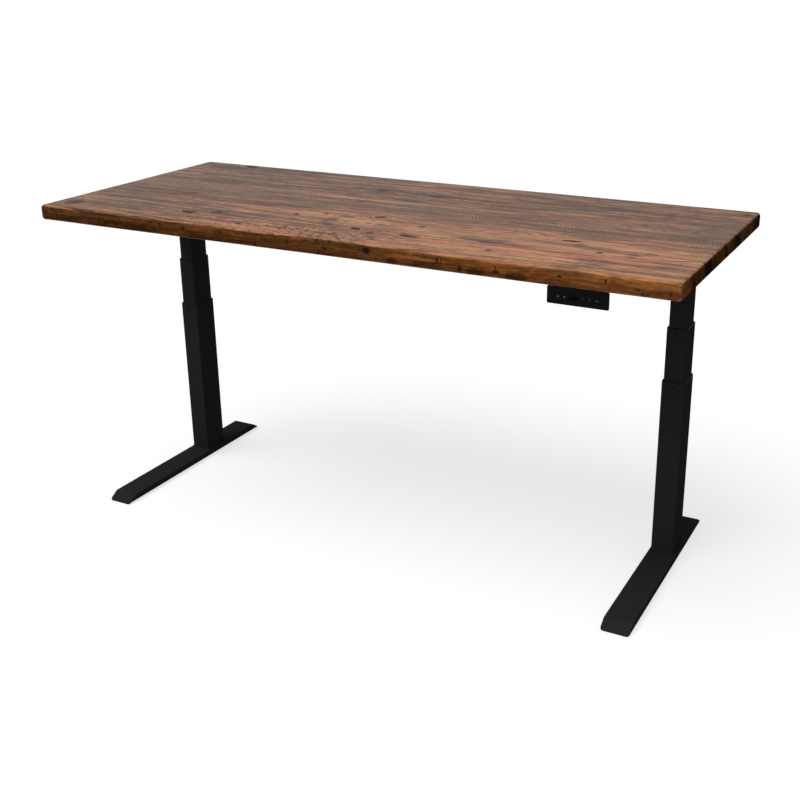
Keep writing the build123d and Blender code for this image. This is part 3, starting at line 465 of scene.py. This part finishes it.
def steps(factor, stops, interpolation="CONSTANT"):
    """A colour band for each stop of position and colour, or of position and level of grey."""
    node = add("ValToRGB", {"Fac": factor})
    ramp = node.color_ramp
    ramp.interpolation = interpolation
    ramp.elements.remove(ramp.elements[1])
    for index, (position, colour) in enumerate(stops):
        element = ramp.elements[0] if index == 0 else ramp.elements.new(position)
        element.position = position
        element.color = (colour, colour, colour, 1) if isinstance(colour, float) else (*colour, 1)
    return node.outputs[0]


def line(first, first_scale, second, second_scale, offset):
    """A weighted sum of two values and an offset."""
    total = scaled(first, first_scale, offset)
    return total if abs(second_scale) < 1e-9 else scaled(second, second_scale, total)


def oval(place, x, y, half_x, half_y, turn):
    """Square of the distance from the middle of an oval, 1 on its rim."""
    across, up = place
    cosine, sine = math.cos(math.radians(turn)), math.sin(math.radians(turn))
    u = line(across, cosine / half_x / MM, up, sine / half_x / MM,
             -(x * cosine + y * sine) / half_x)
    v = line(up, cosine / half_y / MM, across, -sine / half_y / MM,
             (x * sine - y * cosine) / half_y)
    return scaled(v, v, times(u, u))


def marks(place, table, soft=0.45):
    """Strength of a table of oval marks at a place given by two lengths."""
    total = None
    for *shape, strength in table:
        shade = fade(oval(place, *shape), (1 + soft) ** 2, (1 - soft) ** 2, 0.0, strength)
        total = shade if total is None else most(total, shade)
    return total


def swirls(place, table, ragged):
    """Rings of grain round the centres in a table, from -1 to 1."""
    total = None
    for *shape, count in table:
        reach = maths("SQRT", oval(place, *shape))
        wave = maths("SINE", times(scaled(ragged, 0.5, reach), 2 * math.pi * count))
        wave = times(wave, fade(reach, 1.25, 0.55))
        total = wave if total is None else plus(total, wave)
    return total


def seen(tree):
    """1 for what is seen or mirrored, and 0 for what only sheds light."""
    rays = add("LightPath", {}, tree).outputs
    return most(rays["Is Camera Ray"], most(rays["Is Glossy Ray"], rays["Is Transmission Ray"]))


def plain_paint(name, colour, roughness, metallic=0.0, specular=0.5):
    """A material of one even colour."""
    material = bpy.data.materials.new(name)
    material.use_nodes = True
    material.diffuse_color = (*colour, 1)
    for key, value in (("Base Color", (*colour, 1)), ("Roughness", roughness),
                       ("Metallic", metallic), ("Specular IOR Level", specular)):
        surface(material)[key].default_value = value
    return material


def surface(material):
    """The inputs of a material's shader."""
    return material.node_tree.nodes["Principled BSDF"].inputs


def spot(material):
    """The place on the object of each point of its surface."""
    return add("TexCoord", {}, material.node_tree).outputs["Object"]


def bump(material, height, strength, distance):
    """Raises a material's surface by a height pattern."""
    node = add("Bump", {"Height": height, "Strength": strength, "Distance": distance})
    feed(surface(material)["Normal"], node.outputs[0])


# ---------------------------------------------------------------- materials
def wood_paint(wood):
    """Old boards under clear lacquer: bands, grain, knots, cracks, saw marks and nail stains."""
    material = plain_paint("reclaimed_wood", wood.russet, wood.roughness, specular=0.062)
    x, y, z = add("SeparateXYZ", {0: spot(material)}).outputs
    across = scaled(y, 1 / TOP_DEPTH, 0.5)
    flat = (x, y)

    # each board is cut from another tree, so its pattern starts elsewhere
    cuts = [0.0] + [(seam * MM - TOP_LOW.y) / TOP_DEPTH for seam in SEAMS]
    board = steps(across, zip(cuts, BOARD_STARTS))
    patch = times(maths("GREATER_THAN", x, PATCH_X), maths("GREATER_THAN", y, SEAMS[-1] * MM))
    layer = times(maths("LESS_THAN", z, LAMINATION_Z), maths("LESS_THAN", y, SEAMS[0] * MM))
    board_x = plus(x, scaled(board, 9.0, times(plus(patch, layer), 3.7)))
    boards = (board_x, y, z)

    # the grain wanders slowly along each board and parts round its knots
    wander = scaled(cloud(boards, 0.6, 0.14, 2.0), 0.070, -0.035)
    bend = scaled(marks(flat, KNOTS, 0.9), 0.014, wander)
    grain = (board_x, plus(y, bend), plus(z, bend))
    broad = cloud(grain, 0.62, 0.030, 2.0)
    middle = cloud(grain, 0.34, 0.0115, 3.0, 0.6, 0.25)
    fine = cloud(grain, 0.150, 0.0042, 3.0, 0.62)
    hair = cloud(grain, 0.070, 0.0014, 2.0, 0.6)
    blotch = cloud(boards, 0.070, 0.024, 3.0, 0.6)
    rings = maths("SINE", scaled(grain[1], 560.0, times(middle, 11.0)))
    ragged = cloud((x, y, z), 0.015, 0.0052, 4.0, 0.72)

    # bands of tone across the top, from front to back, plus painted light that makes the top lighter
    # towards the front right
    tone = steps(scaled(broad, 0.016, plus(across, -0.008)), TONES, "LINEAR")
    # painted light: the top is made lighter towards the front right
    tone = plus(tone, times(fade(y, 0.02, -0.12), fade(x, -1.0, 0.55, -0.10, 0.11)))

    # the figure of the grain, calmer on the boards in the middle and on the front edge
    edge = fade(y, TOP_LOW.y + 0.0024, TOP_LOW.y + 0.0006)
    figure = 0.0
    for pattern, amount in ((broad, 1.30), (middle, 1.55), (fine, 1.60), (hair, 0.80), (blotch, 0.60)):
        figure = plus(figure, scaled(pattern, amount, -amount / 2))
    calm = times(fade(y, -0.075, -0.050), fade(y, 0.110, 0.085))
    tone = scaled(figure, scaled(calm, -0.36, scaled(edge, -0.50, 1.0)), tone)
    tone = plus(tone, scaled(cloud(boards, 0.019, 0.0085, 2.0, 0.5), 0.52, -0.26))
    tone = scaled(rings, 0.050, scaled(swirls(flat, SWIRLS, ragged), 0.20, tone))
    tone = scaled(layer, -0.08, tone)
    # painted shade: the front face of the top is darker, most of all towards the left
    tone = scaled(edge, fade(x, -0.5, 0.85, -0.26, -0.02), tone)
    tone = scaled(patch, 0.05, tone)

    # stains and paler patches, all with a ragged outline
    shake = scaled(ragged, 0.016, -0.008)
    rough_flat = (scaled(shake, 1.5, x), plus(y, shake))
    above = maths("GREATER_THAN", z, TOP_HIGH.z - 0.012)
    broken = times(fade(middle, 0.32, 0.62, 1.35, 0.55), fade(fine, 0.32, 0.58, 1.25, 0.70))
    stains = times(maths("MULTIPLY", marks(rough_flat, STAINS, 0.7), broken, clamp=True), above)
    tone = scaled(stains, -0.50, tone)
    tone = scaled(times(marks(rough_flat, LIGHTS, 0.8), above), 0.24, tone)

    # strokes of the saw, strong in patches and faint on the boards in the middle
    faint = times(fade(y, -0.075, -0.045), fade(y, 0.30, 0.26))
    faint = times(faint, fade(cloud(boards, 0.21, 0.055, 2.0), 0.50, 0.66, 0.12, 0.62))
    stroke = maths("SINE", plus(times(x, 640.0), scaled(y, 420.0, times(blotch, 14.0))))
    sawn = times(most(marks(flat, SAWN, 0.5), times(faint, 0.45)), fade(fine, 0.38, 0.60, 0.2, 1.2))
    tone = scaled(times(stroke, times(sawn, above)), 0.26, tone)
    tone = maths("ADD", tone, 0.078, clamp=True)

    colour = steps(tone, ((0.0, (0.030, 0.0125, 0.0045)), (0.15, (0.072, 0.0305, 0.0100)),
                          (0.35, tuple(wood.russet)), (0.52, (0.200, 0.0920, 0.0450)),
                          (0.70, tuple(wood.honey)), (1.0, (0.560, 0.2600, 0.1020))), "LINEAR")

    # redder and yellower streaks; the tint of the front edge, partly the wood's colour and partly painted
    # shade that darkens the front face; and the tints of the lower layer and the patch
    hue = fade(cloud((plus(board_x, 3.1),) + grain[1:], 0.22, 0.0080, 3.0, 0.6, 0.3), 0.34, 0.66)
    hue = plus(hue, times(edge, scaled(hue, -0.8, 0.30)))
    colour = mix(1.0, colour, mix(hue, (1.045, 0.93, 1.22), (0.975, 1.07, 0.90)), "MULTIPLY")
    reds = times(marks(rough_flat, REDS, 0.9), fade(fine, 0.30, 0.60, 0.3, 1.0))
    colour = tinted(reds, colour, (1.10, 0.84, 0.92))
    # partly the wood's colour and partly painted shade: the front face is tinted darker and more orange
    colour = tinted(edge, colour, (0.81, 0.67, 0.325))
    colour = tinted(layer, colour, (0.95, 0.82, 0.70))
    colour = tinted(patch, colour, (0.98, 0.82, 0.68))

    # the middle and the back are greyer than the front, in cloudy patches of weathered wood and by a
    # painted sheen that grows towards the back, but the rear board is less so
    greyed_and_sheen = times(fade(cloud(boards, 0.30, 0.040, 3.0), 0.42, 0.64), fade(y, -0.28, 0.02, 0.08, 0.38))
    greyed_and_sheen = times(greyed_and_sheen, fade(y, 0.284, 0.292, 1.0, 0.35))
    level = fade(tone, 0.0, 0.7, 0.25, 1.9)
    grey = mix(1.0, wood.weathered_and_sheen, vector(level, level, level), "MULTIPLY")
    colour = mix(greyed_and_sheen, colour, grey)
    colour = mix(times(stains, 0.85), colour, (0.034, 0.026, 0.022))

    # what is darker than the wood: cracks, torn grain, knots, specks and nail stains
    cracks = marks((x, scaled(shake, 0.28, y)), CRACKS, 0.5)
    pits = cloud((x, y, z), 0.0150, 0.0062, 3.0, 0.55)
    torn = times(marks(flat, TORN, 0.6), fade(pits, 0.535, 0.585))
    dark = times(most(most(marks(rough_flat, KNOTS, 0.35), cracks), times(torn, 0.85)), above)
    specks = fade(cloud(boards, 0.020, 0.0050, 2.0), 0.70, 0.77)
    dark = most(dark, times(specks, 0.6))
    rough_edge = (scaled(shake, 0.15, x), scaled(shake, 0.50, plus(z, -TOP_LOW.z)))
    nails = times(marks(rough_edge, EDGE_MARKS, 0.35), maths("LESS_THAN", y, TOP_LOW.y + 0.006))
    glue = glue_lines(x, y, z, edge, blotch)
    dark = maths("MAXIMUM", most(dark, nails), glue, clamp=True)
    colour = mix(dark, colour, wood.stain)

    end = fade(maths("ABSOLUTE", x), TOP_HIGH.x - 0.0050, TOP_HIGH.x - 0.0010)
    end_colour = mix(times(glue, 0.25), end_grain(x, y, z, board, wander, broad), wood.stain)
    feed(surface(material)["Base Color"], mix(end, colour, end_colour))

    # the dark marks are duller and lie a little deeper
    sheen = scaled(middle, 0.16, wood.roughness - 0.08)
    feed(surface(material)["Roughness"], scaled(dark, 0.15, sheen))
    height = scaled(rings, 0.12, scaled(fine, 0.55, times(hair, 0.45)))
    bump(material, scaled(dark, -2.0, height), 0.55, 0.0005)
    return material


def glue_lines(x, y, z, edge, blotch):
    """Glue between the boards, between the two layers of the front board and round the patch."""
    layers = most(gap(z, LAMINATION_Z), maths("GREATER_THAN", y, SEAMS[0] * MM))
    butt = most(gap(x, PATCH_X), maths("LESS_THAN", y, SEAMS[-1] * MM))
    nearest = maths("MINIMUM", layers, butt)
    for seam in SEAMS:
        nearest = maths("MINIMUM", nearest, gap(y, seam * MM))
    glue = times(fade(nearest, 0.0017, 0.0004), fade(blotch, 0.36, 0.55, 0.9, 0.35))
    return times(glue, scaled(edge, fade(x, 0.30, 0.62, -0.15, -0.75), 1.0))


def end_grain(x, y, z, board, wander, broad):
    """Darker, ringed and porous ends that lean a little, with one black board on the right."""
    lean = scaled(plus(z, -(TOP_LOW.z + TOP_HIGH.z) / 2), 0.45, y)
    pores = noise(vector(times(x, 40.0), times(y, 420.0), times(z, 420.0)), 1.0)
    arcs = maths("SINE", times(plus(plus(y, wander), times(plus(z, -0.80), board)), 900.0))
    tone = scaled(arcs, 0.10, scaled(pores, 0.9, -0.12))
    level = steps(scaled(lean, 1 / TOP_DEPTH, 0.5), ENDS, "LINEAR")
    tone = maths("ADD", tone, scaled(broad, 0.9, plus(level, -0.92)), clamp=True)
    colour = mix(tone, (0.022, 0.010, 0.005), (0.170, 0.064, 0.019))
    black = fade(gap(scaled(pores, 0.030, lean), BLACK_Y), 0.040, 0.025, 0.0, 0.96)
    return mix(times(black, maths("GREATER_THAN", x, 0.0)), colour, (0.010, 0.0095, 0.009))


def coat_paint(name, colour, roughness, specular, grain=1400.0, depth=0.00012):
    """A matte black finish with the fine orange-peel of powder coat or moulded plastic."""
    material = plain_paint(name, colour, roughness, specular=specular)
    bump(material, noise(spot(material), grain, 2.0, 0.5), 0.35, depth)
    return material


def threaded_paint(name, pitch, colour):
    """Rolled steel thread: fine rings along Z."""
    material = plain_paint(name, colour, 0.3, 1.0)
    height = add("SeparateXYZ", {0: spot(material)}).outputs[2]
    bump(material, maths("SINE", times(height, 2 * math.pi / pitch)), 0.8, 0.0006)
    return material


def circuit_paint():
    """Green board with a faint pattern of tracks."""
    material = plain_paint("circuit_green", (0.015, 0.12, 0.05), 0.3)
    cells = add("TexVoronoi", {"Vector": spot(material), "Scale": 260.0}, feature="DISTANCE_TO_EDGE")
    track = fade(cells.outputs["Distance"], 0.05, 0.12)
    feed(surface(material)["Base Color"], mix(track, (0.03, 0.22, 0.09), (0.012, 0.10, 0.04)))
    return material


# ---------------------------------------------------------------- operators
class DESK_OT_wooden_top(bpy.types.Operator):
    """Model and paint the wooden top"""

    bl_idname = "desk.wooden_top"
    bl_label = "Wooden Top"

    def execute(self, context):
        wood = context.scene.desk_wood
        top = block("wooden_top", TOP_LOW, TOP_HIGH)
        edit(top)
        for front, right, radius in ((True, False, 0.5), (True, True, 1.3), (False, False, 0.9),
                                     (False, True, 0.9)):
            choose("EDGE", lambda e: along(e, 2)
                   and (e.verts[0].co.y < 0) == front and (e.verts[0].co.x > 0) == right
                   and abs(e.verts[0].co.x) > TOP_HIGH.x - 1e-5
                   and abs(e.verts[0].co.y) > TOP_HIGH.y - 1e-5)
            bpy.ops.mesh.bevel(offset=wood.corner * radius, segments=6, affect="EDGES")
        choose("EDGE", lambda e: abs(e.verts[0].co.z - e.verts[1].co.z) < 1e-6)
        bpy.ops.mesh.bevel(offset=wood.roundover, segments=6, affect="EDGES")
        for axis, parts in ((0, 48), (1, 24)):
            for step in range(1, parts):
                cut(axis, TOP_LOW[axis] + step * (TOP_HIGH[axis] - TOP_LOW[axis]) / parts)
        deselect()
        waves = bpy.data.textures.new("sanded_waves", "CLOUDS")
        waves.noise_scale = 0.11
        modify(top, "DISPLACE", texture=waves, texture_coords="LOCAL", strength=wood.waviness,
               mid_level=0.5)
        smooth(top)
        paint = wood_paint(wood)
        seat(top, "top", "wood", paint, "desktop")
        for name, specular in (("reclaimed_edge", 0.02), ("reclaimed_end", 0.0)):
            copy = paint.copy()
            copy.name = name
            surface(copy)["Specular IOR Level"].default_value = specular
            top.data.materials.append(copy)
        for face in top.data.polygons:
            if face.normal.z < 0.75:
                face.material_index = 2 if abs(face.normal.x) > 0.6 else 1
        return {"FINISHED"}


class DESK_OT_columns(bpy.types.Operator):
    """Finish the three stages of both columns with their guides and screws"""

    bl_idname = "desk.columns"
    bl_label = "Columns"

    def execute(self, context):
        metal = context.scene.desk_metal
        coat = coat_paint("powder_coat", metal.coat, metal.coat_roughness, 0.0)
        guide = coat_paint("guide_plastic", metal.plastic, 0.65, 0.05, 900.0)
        dark = plain_paint("blackened_screw", (0.004, 0.004, 0.004), 0.6, 0.0, 0.05)
        for side in SIDES:
            for stage in ("outer", "middle", "inner"):
                refine(f"{side}_{stage}_tube", "black_steel", coat, metal.edge)
            for stage in ("outer", "middle"):
                refine(f"{side}_{stage}_collar", "guide_plastic", guide, metal.edge)
                refine(f"{side}_{stage}_collar_screw", "blackened_screw", dark, metal.edge / 4)
        return {"FINISHED"}


class DESK_OT_feet(bpy.types.Operator):
    """Model the folded feet"""

    bl_idname = "desk.feet"
    bl_label = "Feet"

    def execute(self, context):
        metal = context.scene.desk_metal
        coat = coat_paint("foot_coat", metal.coat, metal.coat_roughness, 0.0)
        for side in SIDES:
            low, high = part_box(f"{side}_foot")
            self.fold(side, low, high, metal, coat)
        return {"FINISHED"}

    @staticmethod
    def fold(side, low, high, metal, coat):
        """Fold one foot from a block between the corners of its CAD node."""
        # length of the sloping ends, thickness of the steel, height of the flanges, depth of a lip
        ramp, sheet, flange_z, lip = 0.0295, 0.003, 0.005, 0.0002
        # radii of the corners in plan, of the long edges and of the rest
        corner, long_edge, fillet = 0.008, 0.0018, 0.0003
        slope = (high.z - low.z - sheet) / ramp
        flange = (flange_z - low.z - sheet + sheet * math.hypot(1, slope)) / slope
        foot = block(f"{side}_folded_foot", low, high)
        ends = ((low.y, 1), (high.y, -1))
        edit(foot)
        for start, sign in ends:
            cut(1, start + sign * ramp)
            cut(1, start + sign * flange)
        for start, sign in ends:
            choose("VERT", lambda v: abs(v.co.y - start) < 1e-5 and v.co.z > low.z + 1e-4)
            bpy.ops.transform.translate(value=(0, 0, low.z + sheet - high.z))
            choose("VERT", lambda v: abs(v.co.y - start - sign * flange) < 1e-5 and v.co.z > high.z - 1e-4)
            bpy.ops.transform.translate(value=(0, 0, low.z + sheet + slope * flange - high.z))
        choose("VERT", lambda v: low.y + flange - 1e-5 < v.co.y < high.y - flange + 1e-5
               and v.co.z < low.z + 1e-5)
        bpy.ops.transform.translate(value=(0, 0, flange_z - low.z))
        choose("EDGE", lambda e: along(e, 2) and min(abs(e.verts[0].co.y - low.y),
                                                     abs(e.verts[0].co.y - high.y)) < 1e-5)
        bpy.ops.mesh.bevel(offset=corner, segments=5, affect="EDGES")
        choose("EDGE", lambda e: along(e, 0) and e.verts[0].co.z > high.z - 1e-5)
        bpy.ops.mesh.bevel(offset=metal.bend, segments=4, affect="EDGES")
        choose("EDGE", lambda e: len(e.link_faces) == 2 and e.verts[0].co.z > low.z + sheet - 1e-4
               and e.verts[1].co.z > low.z + sheet - 1e-4
               and max(f.normal.z for f in e.link_faces) > 0.7
               and min(f.normal.z for f in e.link_faces) < 0.3)
        bpy.ops.mesh.bevel(offset=long_edge, segments=4, affect="EDGES")
        choose("FACE", lambda f: f.normal.z < -0.6 and abs(f.calc_center_median().z - flange_z) < 1e-4
               and abs(f.calc_center_median().y - (low.y + high.y) / 2) < (high.y - low.y) / 2 - flange)
        bpy.ops.mesh.inset(thickness=sheet)
        bpy.ops.mesh.extrude_region_move(TRANSFORM_OT_translate={"value": (0, 0, lip)})
        top_in = high.z - sheet
        slack = (ramp - flange) * 0.35
        choose("VERT", lambda v: abs(v.co.z - flange_z - lip) < 1e-6
               and low.y + flange + slack < v.co.y < high.y - flange - slack)
        bpy.ops.transform.translate(value=(0, 0, top_in - flange_z - lip))
        deselect()
        modify(foot, "BEVEL", width=fillet, segments=1, limit_method="ANGLE",
               angle_limit=math.radians(40), use_clamp_overlap=True)
        smooth(foot, 40)
        seat(foot, f"{side}_base", "black_steel", coat, f"{side}_foot")


class DESK_OT_under_frame(bpy.types.Operator):
    """Finish the arms, gearboxes, motors, crossbar and fasteners under the top"""

    bl_idname = "desk.under_frame"
    bl_label = "Under Frame"

    def execute(self, context):
        metal = context.scene.desk_metal
        coat = coat_paint("frame_coat", metal.coat, metal.coat_roughness, 0.04)
        cast = coat_paint("cast_coat", (0.014, 0.014, 0.015), 0.55, 0.35, 700.0, 0.0003)
        can = coat_paint("motor_coat", (0.012, 0.012, 0.013), 0.45, 0.4)
        zinc = plain_paint("zinc_plate", metal.zinc, 0.32, 1.0)
        rubber = coat_paint("black_rubber", (0.012, 0.012, 0.012), 0.85, 0.25)
        steel = threaded_paint("rolled_thread", 0.004, (0.45, 0.45, 0.46))
        nylon = plain_paint("nut_nylon", (0.62, 0.60, 0.55), 0.5)
        guide = coat_paint("end_plate_plastic", metal.plastic, 0.55, 0.25)
        refine("crossbar_rails", "black_steel", coat, metal.edge)
        for side in SIDES:
            refine(f"{side}_arm", "black_steel", coat, metal.edge)
            refine(f"{side}_frame_end", "black_steel", coat, metal.edge)
            refine(f"{side}_gearbox", "gearbox_casting", cast, 0.0012)
            refine(f"{side}_motor", "motor_can", can, metal.edge)
            refine(f"{side}_front_glide", "rubber", rubber, metal.edge)
            refine(f"{side}_rear_glide", "rubber", rubber, metal.edge)
            refine(f"{side}_foot_bolts", "zinc_steel", zinc, metal.edge)
        refine("frame_bolts", "zinc_steel", zinc, metal.edge)
        refine("wood_screws", "zinc_steel", zinc, metal.edge)
        refine("arm_pads", "rubber", rubber, metal.edge)
        inside = {"fixed_screw": steel, "hollow_screw": steel, "drive_rod": zinc, "inner_nut": nylon,
                  "middle_end_plate": guide}
        for side in SIDES:
            for name, material in inside.items():
                paint_only(frame["nodes"][f"{side}_{name}"], material)
        return {"FINISHED"}


class DESK_OT_control_box(bpy.types.Operator):
    """Finish the control box with its board, inlet and sockets"""

    bl_idname = "desk.control_box"
    bl_label = "Control Box"

    def execute(self, context):
        metal = context.scene.desk_metal
        plastic = coat_paint("box_plastic", metal.plastic, 0.5, 0.35, 1100.0)
        socket = coat_paint("socket_plastic", (0.02, 0.02, 0.022), 0.4, 0.4)
        for node in ("control_box_case", "control_box_base", "power_inlet"):
            refine(node, "black_plastic", plastic, metal.edge)
        refine("cable_sockets", "socket_plastic", socket, metal.edge / 2)
        paint_only(frame["nodes"]["control_board"], circuit_paint())
        return {"FINISHED"}


class DESK_OT_keypad(bpy.types.Operator):
    """Finish the keypad and put the signs on its keys"""

    bl_idname = "desk.keypad"
    bl_label = "Keypad"
    # Sizes of the signs in metres
    ARROW_RADIUS, NUMBER_SIZE, NUMBER_WEIGHT = 0.0031, 0.0064, 0.00012
    DOT_RADIUS, DOT_STEP, INK = 0.0009, 0.0026, 0.00008

    def execute(self, context):
        metal = context.scene.desk_metal
        plastic = coat_paint("keypad_plastic", metal.keypad, 0.55, 0.03, 1500.0, 0.00006)
        glass = plain_paint("display_window", (0.0012, 0.0011, 0.0010), 0.25, 0.0, 0.02)
        sign = plain_paint("key_sign", metal.mark, 0.6, 0.0, 0.2)
        refine("handset_panel", "handset_plastic", plastic, metal.edge / 2)
        refine("handset_case", "black_plastic", plastic, metal.edge)
        refine("handset_display", "display_window", glass, metal.edge / 2)
        for key in ("up_key", "down_key", "preset_1_key", "preset_2_key", "memory_key"):
            refine(key, "key_plastic", plastic, 0)
        paint_only(frame["nodes"]["handset_board"], circuit_paint())
        self.arrow("up_key", 0.0, sign)
        self.arrow("down_key", math.pi, sign)
        self.number("preset_1_key", "1", sign)
        self.number("preset_2_key", "2", sign)
        self.dots("memory_key", sign)
        return {"FINISHED"}

    @staticmethod
    def face_centre(node):
        """The middle of a key's front face."""
        low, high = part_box(node)
        return Vector(((low.x + high.x) / 2, low.y, (low.z + high.z) / 2))

    @classmethod
    def arrow(cls, node, turn, sign):
        """A flat triangle that points up, or down when turned."""
        centre = cls.face_centre(node)
        deselect()
        bpy.ops.mesh.primitive_circle_add(vertices=3, radius=cls.ARROW_RADIUS, fill_type="NGON",
                                          location=centre, rotation=(math.pi / 2, turn, 0))
        cls.print_on(bpy.context.object, node, sign)

    @classmethod
    def number(cls, node, text, sign):
        """A number about 4 mm high."""
        centre = cls.face_centre(node)
        deselect()
        bpy.ops.object.text_add(location=centre, rotation=(math.pi / 2, 0, 0))
        label = bpy.context.object
        label.data.body = text
        label.data.size = cls.NUMBER_SIZE
        label.data.offset = cls.NUMBER_WEIGHT
        label.data.align_x = "CENTER"
        label.data.align_y = "CENTER"
        label.data.resolution_u = 4
        pick(label)
        bpy.ops.object.convert(target="MESH")
        cls.print_on(bpy.context.object, node, sign)

    @classmethod
    def dots(cls, node, sign):
        """Three dots in a row, for the memory key."""
        centre = cls.face_centre(node)
        made = []
        for step in (-1, 0, 1):
            deselect()
            bpy.ops.mesh.primitive_circle_add(vertices=20, radius=cls.DOT_RADIUS, fill_type="NGON",
                                              location=centre + Vector((step * cls.DOT_STEP, 0, 0)),
                                              rotation=(math.pi / 2, 0, 0))
            made.append(bpy.context.object)
        deselect()
        for obj in made:
            obj.select_set(True)
        bpy.context.view_layer.objects.active = made[0]
        bpy.ops.object.join()
        cls.print_on(bpy.context.object, node, sign)

    @classmethod
    def print_on(cls, obj, node, sign):
        """Gives a flat sign the thickness of ink on the key's face."""
        obj.name = obj.data.name = node.replace("_key", "_sign")
        bake_place(obj)
        edit(obj)
        bpy.ops.mesh.select_all(action="SELECT")
        bpy.ops.mesh.extrude_region_move(TRANSFORM_OT_translate={"value": (0, -cls.INK, 0)})
        bpy.ops.mesh.select_all(action="SELECT")
        bpy.ops.mesh.normals_make_consistent(inside=False)
        deselect()
        seat(obj, body_name(node), "key_plastic", sign)


class DESK_OT_stage(bpy.types.Operator):
    """Set up the camera, the pale floor and the soft light"""

    bl_idname = "desk.stage"
    bl_label = "Stage"

    def execute(self, context):
        stage = context.scene.desk_stage
        self.camera(context.scene, stage)
        self.floor(stage)
        self.lamp("front_lamp", (-0.25, -0.42, 0.90), 50, stage.key_power)
        self.lamp("low_lamp", (-0.15, -1.0, 0.22), 60, stage.fill_power)
        self.world(context.scene, stage)
        context.scene.view_settings.view_transform = "Standard"
        return {"FINISHED"}

    @staticmethod
    def camera(scene, stage):
        """Stand the camera in front, to the right and above the top."""
        place = (1.5014173, -2.6532877, 1.5909081)
        turn, tilt, roll = -0.4773883, 0.3445132, 0.0074815
        ahead = Vector((math.sin(turn) * math.cos(tilt), math.cos(turn) * math.cos(tilt),
                        -math.sin(tilt)))
        right = Vector((math.cos(turn), -math.sin(turn), 0))
        down = ahead.cross(right)
        level_right = math.cos(roll) * right + math.sin(roll) * down
        level_down = math.cos(roll) * down - math.sin(roll) * right
        deselect()
        bpy.ops.object.camera_add()
        camera = bpy.context.object
        camera.name = "desk_camera"
        axes = Matrix((level_right, -level_down, -ahead)).transposed()
        camera.matrix_world = Matrix.Translation(place) @ axes.to_4x4()
        camera.data.sensor_width = 36.0
        camera.data.lens = stage.lens
        camera.data.shift_x = -0.04350
        camera.data.shift_y = -0.05607
        camera.data.clip_end = 500
        scene.camera = camera

    @staticmethod
    def floor(stage):
        """Lay a wide pale floor that still takes the shadow of the desk."""
        deselect()
        bpy.ops.mesh.primitive_plane_add(size=240, location=(0, 0, 0))
        floor = bpy.context.object
        floor.name = "floor"
        paint = plain_paint("pale_floor", stage.floor, 0.9, specular=0.0)
        nodes = paint.node_tree.nodes
        glow = add("Emission", {"Color": (1, 1, 1, 1),
                                "Strength": times(seen(paint.node_tree), stage.glow)})
        both = add("AddShader", {0: nodes["Principled BSDF"].outputs[0], 1: glow.outputs[0]})
        feed(nodes["Material Output"].inputs["Surface"], both.outputs[0])
        floor.data.materials.append(paint)

    @staticmethod
    def lamp(name, towards, angle, power):
        """Hang one broad distant lamp that shines from a direction."""
        deselect()
        bpy.ops.object.light_add(type="SUN", location=Vector(towards) * 4)
        lamp = bpy.context.object
        lamp.name = name
        lamp.rotation_euler = Vector(towards).to_track_quat("Z", "Y").to_euler()
        lamp.data.angle = math.radians(angle)
        lamp.data.energy = power

    @staticmethod
    def world(scene, stage):
        """Even light all round, with a white backdrop for what is seen or mirrored."""
        world = bpy.data.worlds.new("studio")
        world.use_nodes = True
        strength = add("MapRange", {"Value": seen(world.node_tree), "To Min": stage.sky, "To Max": 1.0})
        background = world.node_tree.nodes["Background"].inputs
        feed(background["Color"], (1, 1, 1, 1))
        feed(background["Strength"], strength.outputs[0])
        scene.world = world


class DESK_PT_panel(bpy.types.Panel):
    """Lists the desk's pieces and their settings"""

    bl_label = "Desk"
    bl_idname = "DESK_PT_panel"
    bl_space_type = "VIEW_3D"
    bl_region_type = "UI"
    bl_category = "Desk"

    def draw(self, context):
        scene = context.scene
        for operator in OPERATORS:
            self.layout.operator(operator.bl_idname)
        for settings in (scene.desk_wood, scene.desk_metal, scene.desk_stage):
            box = self.layout.box()
            for name in settings.bl_rna.properties.keys():
                if name not in ("rna_type", "name"):
                    box.prop(settings, name)


SETTINGS = {"desk_wood": DeskWoodSettings, "desk_metal": DeskMetalSettings,
            "desk_stage": DeskStageSettings}
OPERATORS = (DESK_OT_wooden_top, DESK_OT_columns, DESK_OT_feet, DESK_OT_under_frame, DESK_OT_control_box,
             DESK_OT_keypad, DESK_OT_stage)


def register():
    """Register the settings, the operators and the panel."""
    for name, settings in SETTINGS.items():
        bpy.utils.register_class(settings)
        setattr(bpy.types.Scene, name, PointerProperty(type=settings))
    for operator in OPERATORS:
        bpy.utils.register_class(operator)
    bpy.utils.register_class(DESK_PT_panel)


def unregister():
    """Take them all off again."""
    bpy.utils.unregister_class(DESK_PT_panel)
    for operator in reversed(OPERATORS):
        bpy.utils.unregister_class(operator)
    for name, settings in SETTINGS.items():
        delattr(bpy.types.Scene, name)
        bpy.utils.unregister_class(settings)


def main():
    """Build the whole scene."""
    register()
    bpy.ops.desk.wooden_top()
    bpy.ops.desk.columns()
    bpy.ops.desk.feet()
    bpy.ops.desk.under_frame()
    bpy.ops.desk.control_box()
    bpy.ops.desk.keypad()
    bpy.ops.desk.stage()
    deselect()


if __name__ == "__main__":
    main()
